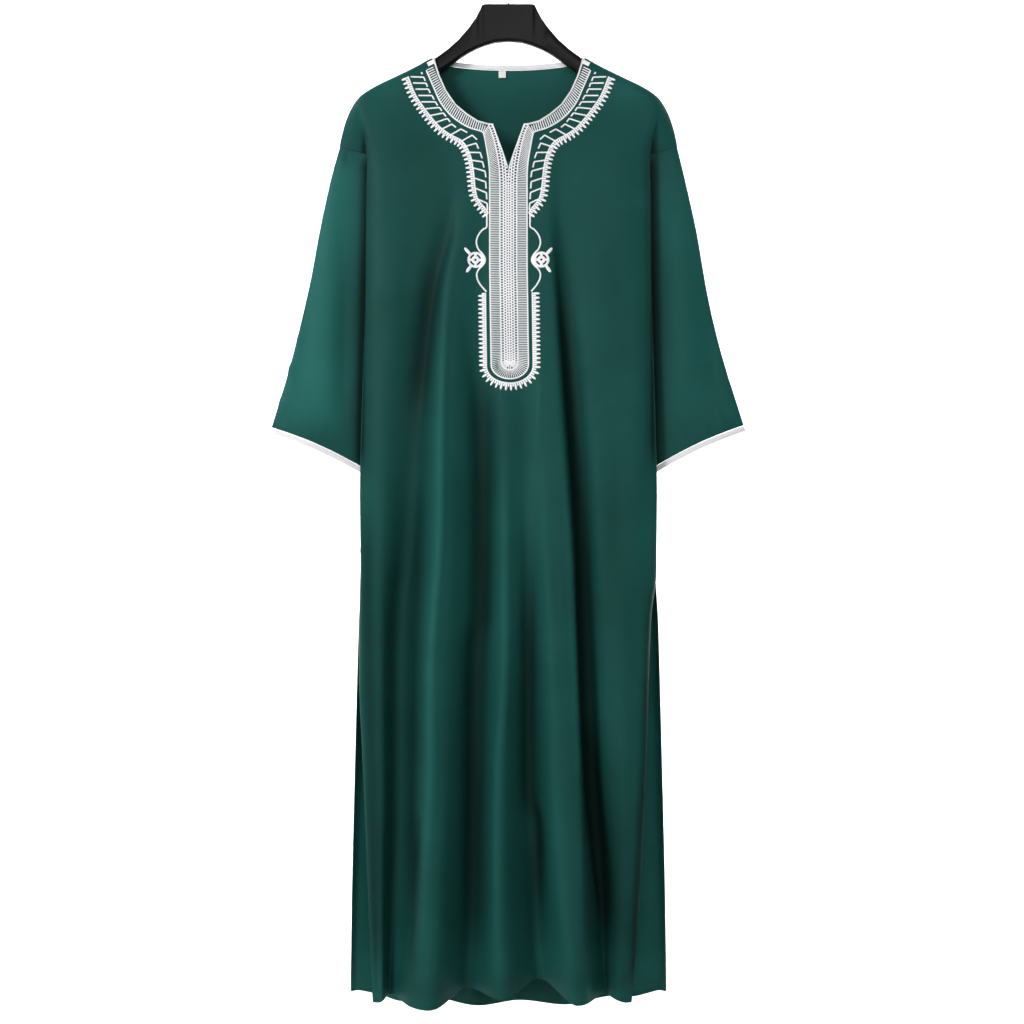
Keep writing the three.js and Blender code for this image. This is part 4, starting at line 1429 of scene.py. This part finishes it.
    def lay_picots(self, work: StitchWork, line: np.ndarray, hand: Hand | None) -> None:
        """Lays a line with ribs and rounded teeth along its outer side.

        Args:
            work: Where the stitches go.
            line: The line, in steps of a quarter of the teeth's distance.
            hand: The side, or None for a line that runs round both.
        """
        along = directions(line)
        outward = np.column_stack([along[:, 1], -along[:, 0]])
        flip = np.array([hand.value if hand else 1.0, 1.0])
        work.strip(line * flip, self.cord, self.cord_height)
        for i in range(1, len(line), 4):
            root = line[i] + outward[i] * 0.4
            work.finger(root * flip, outward[i] * flip, self.tooth_length, self.tooth_width)
            if i + 2 < len(line):
                root = line[i + 2] + outward[i + 2] * 0.4
                work.finger(root * flip, outward[i + 2] * flip, self.rib_length, self.rib_width)

    def lay_medallion(self, work: StitchWork, hand: Hand) -> None:
        """Lays the rosette with its two leaves, and the bracket that curls round it.

        Args:
            work: Where the stitches go.
            hand: The side.
        """
        middle = np.array(self.medallion)
        for radius, width in ((self.ring_radius, self.ring_width), (self.eye_radius, self.eye_width)):
            circle = arc(self.medallion, (radius, radius), 0, 360, 28)
            work.strip(mirrored(circle, hand), width, 0.8)
        for angle in (0, 90, 180, 270):
            way = np.array([math.cos(math.radians(angle)), math.sin(math.radians(angle))])
            ends = mirrored(np.array([middle + way * 5.0, middle + way * 9.0]), hand)
            work.bar(ends[0], ends[1], 4.2, 0.7)
        for across, down, width in self.spikes:
            reach = np.array([across, down])
            length = np.linalg.norm(reach)
            way = reach / length * np.array([hand.value, 1.0])
            root = mirrored(middle[None, :], hand)[0] + way * 9.0
            work.finger(root, way, length - 8.0, width)
        line = resample(self.bracket, 2.2)
        widths = 2.5 + 3.0 * np.exp(-(((line[:, 1] - 374.0) / 8.0) ** 2))
        work.strip(mirrored(line, hand), widths, 0.85)


# Bindings and label


@dataclass
class Bindings:
    """The white tape round the neck and the cuffs, and the blank size label.

    Attributes:
        stripe: Places (x, drop) of the bright seam below the back-neck tape, right half.
        stripe_width: Its width, in millimetres.
    """

    stripe: tuple[Place, ...] = ((0.0, 90.4), (22.0, 90.0), (44.0, 89.0), (66.0, 87.6), (92.0, 85.2))
    stripe_width: float = 2.0

    def build(self) -> None:
        """Makes all of them."""
        tape = WHITE_BINDING.build()
        neck = merged_copy("neck_tape", "neck_binding")
        apply_modifier(neck, "BEVEL", width=0.0004, segments=2, angle_limit=math.radians(50))
        smooth(neck, 50.0)
        finish_piece(neck, tape, ["neck_binding"])
        half = resample(self.stripe, 5.0)
        line = np.vstack([half[::-1] * np.array([-1.0, 1.0]), half[1:]])
        work = StitchWork(neck, depth=0.018)
        work.strip(line, self.stripe_width, 0.9)
        work.build("neck_tape_seam", tape, "white_binding", [])
        for hand in Hand:
            cuff = merged_copy(f"cuff_tape_{hand.word}", f"cuff_binding_{hand.word}")
            apply_modifier(cuff, "SUBSURF", levels=1, render_levels=1)
            smooth(cuff, 50.0)
            finish_piece(cuff, tape, [f"cuff_binding_{hand.word}"])
        label = merged_copy("blank_label", "size_label")
        apply_modifier(label, "BEVEL", width=0.0002, segments=2, angle_limit=math.radians(50))
        smooth(label, 50.0)
        finish_piece(label, tape, ["size_label"])


# Camera, light and floor


@dataclass
class Studio:
    """The camera of the photograph, a pale floor with a wall behind it, and soft lights.

    Attributes:
        eye: The camera's place.
        frame_width: Width of the view at the garment, in metres.
        floor: Height of the floor.
        wall: How far behind the garment the wall stands.
        half_width: Half the width of floor and wall.
        front: Where the floor starts, along Y.
        height: Height of the wall's top.
        cove: Radius of the curve between floor and wall.
    """

    eye: Vector = field(default_factory=lambda: Vector((0.0051, -3.0, -0.790)))
    frame_width: float = 1.485
    floor: float = -1.62
    wall: float = 1.7
    half_width: float = 4.5
    front: float = -5.0
    height: float = 3.2
    cove: float = 0.9

    def build(self) -> None:
        """Makes everything round the object."""
        self.place_camera()
        self.lay_backdrop()
        self.set_lights()

    def place_camera(self) -> None:
        """Puts the camera where the photograph was taken from."""
        data = bpy.data.cameras.new("camera")
        data.sensor_width = 36.0
        data.lens = data.sensor_width * -self.eye.y / self.frame_width
        data.clip_end = 60.0
        camera = bpy.data.objects.new("camera", data)
        camera.location = self.eye
        camera.rotation_euler = (math.radians(90), 0, 0)
        bpy.context.scene.collection.objects.link(camera)
        bpy.context.scene.camera = camera

    def lay_backdrop(self) -> None:
        """Makes the floor, which curves up into the wall. From behind, both are see-through."""
        profile = [(self.front, self.floor)]
        start = self.wall - self.cove
        for i in range(13):
            turn = math.radians(90) * i / 12
            y = start + self.cove * math.sin(turn)
            profile.append((y, self.floor + self.cove * (1 - math.cos(turn))))
        profile.append((self.wall, self.height))
        points = [(x, y, z) for x in (-self.half_width, self.half_width) for y, z in profile]
        count = len(profile)
        faces = [(i, count + i, count + i + 1, i + 1) for i in range(count - 1)]
        obj = new_object("backdrop", points, faces)
        smooth(obj)
        material = bpy.data.materials.new("pale_paper")
        material.use_nodes = True
        shader = material.node_tree.nodes["Principled BSDF"]
        shader.inputs["Base Color"].default_value = (0.93, 0.93, 0.92, 1.0)
        shader.inputs["Roughness"].default_value = 0.95
        shader.inputs["Specular IOR Level"].default_value = 0.1
        kit = Shader(material.node_tree)
        mix = kit.add("ShaderNodeMixShader")
        kit.link(kit.add("ShaderNodeNewGeometry").outputs["Backfacing"], mix.inputs[0])
        kit.link(shader.outputs["BSDF"], mix.inputs[1])
        kit.link(kit.add("ShaderNodeBsdfTransparent").outputs["BSDF"], mix.inputs[2])
        kit.link(mix.outputs[0], material.node_tree.nodes["Material Output"].inputs["Surface"])
        obj.data.materials.append(material)

    def set_lights(self) -> None:
        """Sets the room's even light and the large soft lamps."""
        scene = bpy.context.scene
        scene.view_settings.view_transform = "Standard"
        world = bpy.data.worlds.new("soft_room")
        scene.world = world
        world.use_nodes = True
        world.node_tree.nodes["Background"].inputs["Color"].default_value = (1, 1, 1, 1)
        world.node_tree.nodes["Background"].inputs["Strength"].default_value = 0.1
        self.lamp("key", Vector((-2.2, -2.7, 0.6)), Vector((0.0, 0.0, -0.75)), 0.9, 88.0)
        self.lamp("front", Vector((0.3, -3.9, 0.4)), Vector((0.0, 0.0, -0.8)), 1.2, 38.0)
        for hand in Hand:
            place = Vector((2.2 * hand.value, 0.6, 0.9))
            aim = Vector((-0.2 * hand.value, 1.9, -0.8))
            self.lamp(f"wall_{hand.word}", place, aim, 1.2, 42.0, 84.0)

    def lamp(
        self, name: str, place: Vector, aim: Vector, size: float, power: float, spread: float = 180.0
    ) -> None:
        """Adds one square soft lamp.

        Args:
            name: Its name.
            place: Where it stands.
            aim: What it points at.
            size: Its side, in metres.
            power: Its power, in watts.
            spread: The angle that its light fills, in degrees.
        """
        data = bpy.data.lights.new(name, "AREA")
        data.spread = math.radians(spread)
        data.size = size
        data.energy = power
        lamp = bpy.data.objects.new(name, data)
        lamp.location = place
        lamp.rotation_euler = (aim - place).to_track_quat("-Z", "Y").to_euler()
        bpy.context.scene.collection.objects.link(lamp)


FRONT_FOLDS = (
    # The dark valleys of the skirt, some pressed in, with painted shade in them and beside them.
    Fold(
        ((-131, 590), (-142, 776), (-154, 900), (-154, 1206), (-150, 1440)),
        15,
        -8.0,
        lean=0.4,
        shade=0.15,
    ),
    Fold(((-128, 470), (-146, 620), (-158, 800), (-162, 1100), (-168, 1440)), 34, 0.0, taper=0.2, shade=0.3),
    Fold(((-118, 560), (-130, 800), (-136, 1077), (-140, 1292), (-148, 1440)), 14, 0.0, shade=0.5),
    Fold(((-128, 1150), (-133, 1292), (-140, 1440)), 9, 0.0, taper=0.25, shade=0.4),
    Fold(((-42, 560), (-38, 860), (-43, 1077), (-46, 1292), (-46, 1440)), 15, 0.0, shade=0.4),
    Fold(((30, 760), (38, 1077), (46, 1292), (50, 1440)), 15, 0.0, shade=0.5),
    Fold(((138, 640), (150, 860), (160, 1077)), 34, 0.0, taper=0.4, shade=0.2),
    Fold(((100, 1060), (110, 1292), (114, 1440)), 10, 0.0, shade=0.35),
    Fold(((148, 1080), (158, 1292), (164, 1440)), 20, 0.0, taper=0.4, shade=0.32),
    Fold(((-81, 250), (-88, 332), (-112, 432), (-131, 620)), 13, -4.5, lean=0.3, shade=0.3),
    Fold(((-100, 330), (-124, 500), (-134, 700)), 18, 0.0, shade=0.36),
    # Painted light on the shoulders, which makes them lighter.
    Fold(((118, 86), (160, 104), (200, 150)), 34, 0.0, taper=0.4, shade=-0.35),
    Fold(((-118, 86), (-160, 104), (-200, 150)), 30, 0.0, taper=0.4, shade=-0.2),
    # The valleys beside the middle and the right ridges, pressed in, with painted shade in them and beside
    # them.
    Fold(
        ((-60, 470), (-41, 600), (-40, 862), (-50, 948), (-53, 1206), (-52, 1440)),
        14,
        -7.0,
        lean=-0.3,
        taper=0.15,
        shade=0.55,
    ),
    Fold(((24, 700), (29, 840), (29, 1120), (41, 1206), (41, 1440)), 9, -5.5, shade=0.5),
    Fold(
        ((61, 270), (74, 374), (92, 604), (104, 776), (108, 900), (118, 1120), (135, 1292), (141, 1440)),
        11,
        -8.5,
        lean=-0.5,
        taper=0.2,
        shade=0.9,
    ),
    Fold(((125, 1000), (138, 1180), (146, 1440)), 30, 0.0, shade=0.35),
    Fold(((155, 540), (156, 700), (158, 900)), 16, -3.0, taper=0.45, shade=0.1),
    Fold(((-28, 520), (-22, 640), (-20, 760)), 22, 0.0, shade=0.2),
    # The bright ridges beside them, raised, with painted highlights along them.
    Fold(
        (
            (-55, 288),
            (-86, 422),
            (-95, 604),
            (-97, 776),
            (-108, 948),
            (-109, 1120),
            (-120, 1292),
            (-131, 1440),
        ),
        7,
        3.6,
        lean=0.5,
        shade=-0.42,
    ),
    Fold(((-8, 600), (-5, 948), (-16, 1120), (-17, 1440)), 8, 3.0, lean=-0.3, shade=-0.25),
    Fold(
        ((45, 590), (53, 776), (62, 948), (66, 1120), (75, 1292), (87, 1440)),
        8,
        2.6,
        lean=0.3,
        shade=-0.15,
    ),
    Fold(((72, 560), (87, 805), (98, 1120), (107, 1440)), 4.5, 3.0, lean=-0.5, shade=-0.25),
    Fold(((45, 530), (43, 590), (40, 660)), 3.2, 1.6, shade=-0.25),
    # Gentle unevenness between the shoulders and the waist, and painted shade over the left chest.
    Fold(((-150, 230), (-165, 420), (-160, 640)), 16, 2.4, taper=0.45),
    # Painted shade over the left chest.
    Fold(((-120, 150), (-130, 350), (-140, 620)), 60, 0.0, taper=0.2, shade=0.22),
    Fold(((-184, 375), (-198, 480), (-206, 590)), 9, 1.6, taper=0.45),
    Fold(((118, 250), (136, 420), (140, 600)), 18, 2.2, taper=0.45),
    Fold(((176, 300), (186, 520), (190, 760)), 12, 1.8, taper=0.45),
    Fold(((-186, 700), (-188, 900), (-184, 1150)), 9, 2.4, taper=0.4),
    Fold(((168, 980), (172, 1180), (170, 1400)), 10, 2.6, taper=0.4),
    Fold(((-218, 789), (-204, 797)), 4, 1.2, taper=0.5),
    Fold(((190, 640), (204, 655)), 5, 1.0, taper=0.5),
    # The deep gaps beside the sleeves, pressed in a little, with painted shadow in them.
    Fold(((-208, 165), (-210, 400), (-212, 690)), 4.0, -2.0, taper=0.1, shade=0.75),
    Fold(((-203, 150), (-203, 400), (-204, 720)), 9.0, 0.0, taper=0.15, shade=0.3),
    Fold(((207, 175), (209, 400), (209, 690)), 3.5, -2.5, taper=0.1, shade=0.7),
    Fold(((202, 165), (203, 400), (203, 700)), 9.0, 0.0, taper=0.15, shade=0.35),
    # Painted shade along the edges of the slits and of the hem.
    Fold(((-203, 700), (-202, 900), (-194, 1200), (-190, 1440)), 12, 0.0, taper=0.15, shade=0.55),
    Fold(((209, 830), (197, 1077), (184, 1300), (180, 1440)), 8, 0.0, taper=0.1, shade=0.7),
    Fold(((-190, 1412), (-60, 1416), (80, 1408), (190, 1406)), 18, 0.0, taper=0.05, shade=0.2),
)

BACK_FOLDS = (
    # Painted shade along the hem, and painted light below the neck and beside the slits.
    Fold(((-190, 1424), (0, 1428), (190, 1424)), 24, 0.0, taper=0.05, shade=0.3),
    Fold(((-90, 40), (0, 62), (90, 40)), 48, 0.0, shade=-0.5),
    Fold(((-205, 860), (-206, 1100), (-200, 1460)), 30, 0.0, taper=0.1, shade=-0.4),
    Fold(((205, 860), (206, 1100), (200, 1460)), 30, 0.0, taper=0.1, shade=-0.6),
    # Folds pressed into the back.
    Fold(((-150, 420), (-160, 760), (-158, 1100), (-150, 1440)), 15, -6.0, lean=0.3),
    Fold(((-60, 380), (-48, 700), (-52, 1050), (-44, 1440)), 14, -6.5, lean=-0.3),
    Fold(((80, 460), (92, 780), (88, 1120), (96, 1440)), 13, -6.0),
    Fold(((-98, 520), (-97, 850), (-99, 1440)), 8, 3.0, lean=0.4),
    Fold(((18, 480), (22, 860), (24, 1440)), 9, 3.0),
    Fold(((140, 560), (145, 900), (143, 1440)), 8, 2.8, lean=-0.4),
    Fold(((-180, 240), (-120, 300), (-60, 310)), 14, 1.8, taper=0.45),
    Fold(((170, 230), (118, 285), (50, 300)), 14, 1.6, taper=0.45),
)

LEFT_SLEEVE_FOLDS = (
    # Painted light over the sleeve's middle, painted shadow in the gap beside the body, and painted shade
    # beside that gap.
    Fold(((-262, 190), (-286, 420), (-300, 640)), 60, 0.0, taper=0.15, shade=-0.95),
    Fold(((-206, 215), (-210, 400), (-215, 680)), 8, 0.0, taper=0.05, shade=1.1),
    Fold(((-226, 300), (-226, 480), (-226, 680)), 14, 0.0, taper=0.3, shade=0.4),
    # Folds pressed into the sleeve.
    Fold(((-249, 260), (-259, 432), (-264, 640)), 15, 3.0, lean=0.3),
    Fold(((-285, 380), (-296, 500), (-305, 600)), 12, -1.8, taper=0.4),
    Fold(((-232, 330), (-236, 480), (-238, 650)), 9, -2.2, taper=0.4),
    Fold(((-316, 470), (-301, 492)), 6, 1.5, taper=0.5),
    Fold(((-326, 515), (-308, 541)), 6, 1.7, taper=0.5),
    Fold(((-335, 566), (-318, 590)), 6, 1.5, taper=0.5),
    Fold(((-244, 214), (-238, 236)), 4, 1.4, taper=0.5),
    Fold(((-236, 214), (-231, 232)), 4, -1.2, taper=0.5),
)

RIGHT_SLEEVE_FOLDS = (
    # Painted light over the sleeve's middle, painted shadow in the gap beside the body, and painted shade
    # beside that gap.
    Fold(((262, 190), (286, 420), (300, 640)), 70, 0.0, taper=0.15, shade=-0.3),
    Fold(((206, 215), (209, 400), (212, 680)), 8, 0.0, taper=0.05, shade=1.0),
    Fold(((222, 300), (224, 480), (224, 680)), 12, 0.0, taper=0.3, shade=0.3),
    # Folds pressed into the sleeve.
    Fold(((244, 260), (256, 432), (258, 600)), 16, 2.4, lean=-0.3),
    Fold(((284, 400), (296, 520), (304, 600)), 13, -1.8, taper=0.4),
    Fold(((302, 586), (309, 606), (315, 624)), 4.5, 1.6, taper=0.4),
    Fold(((318, 480), (302, 505)), 7, 1.2, taper=0.5),
    Fold(((244, 212), (238, 232)), 4, 1.2, taper=0.5),
)

CUFF_LINES = {
    Hand.LEFT: ((-338, 608), (-280, 628), (-246, 645), (-222, 660)),
    Hand.RIGHT: ((334, 606), (278, 628), (244, 646), (220, 662)),
}


def cuff_puckers(hand: Hand) -> tuple[Fold, ...]:
    """Small gathers that the cuff's seam pulls into the sleeve.

    Args:
        hand: The side.

    Returns:
        The folds, one for each gather.
    """
    line = resample(CUFF_LINES[hand], 8.5)
    folds = []
    for i, place in enumerate(line):
        length = 13.0 + 6.0 * math.sin(2.4 * i + hand.value)
        lean = hand.value * (2.0 + 1.5 * math.sin(1.7 * i))
        height = 0.75 * math.cos(math.pi * i) * (0.7 + 0.3 * math.sin(3.1 * i))
        end = (place[0] - lean, place[1] - length)
        folds.append(Fold((tuple(place), end), 2.6, height, taper=0.5))
    return tuple(folds)


def build_cloth() -> dict[str, ClothSheet]:
    """Makes the body panels and the sleeves.

    Returns:
        The sheets by name.
    """
    cloth = GREEN_CLOTH.build()
    sheets = {
        "front": BodyPanel(
            "front_cloth", "front", (0.62, 1.4), 0.72, ("hanger",), FRONT_FOLDS
        ),
        "back": BodyPanel(
            "back_cloth", "back", (0.62, 1.42), 0.75, ("hanger",), BACK_FOLDS, facing=Facing.BACK
        ),
    }
    sleeve_folds = {Hand.LEFT: LEFT_SLEEVE_FOLDS, Hand.RIGHT: RIGHT_SLEEVE_FOLDS}
    for hand in Hand:
        # The first three folds of each sleeve are painted light and shade alone; the rear side takes the
        # three pressed folds after them.
        folds = sleeve_folds[hand] + cuff_puckers(hand)
        sheets[f"sleeve_{hand.word}"] = Sleeve(
            f"sleeve_cloth_{hand.word}",
            f"sleeve_{hand.word}",
            (0.5, 0.36),
            0.12,
            ("front_cloth",),
            folds,
            levels=3,
            back_folds=folds[3:6],
        )
    for sheet in sheets.values():
        sheet.build(cloth)
    return sheets


def main() -> None:
    """Builds every piece in order."""
    logging.basicConfig(level=logging.INFO, format="%(message)s")
    Studio().build()
    sheets = build_cloth()
    NeckEmbroidery().build(sheets["front"].obj)
    Bindings().build()
    ShoulderHanger().build()


if __name__ == "__main__":
    main()
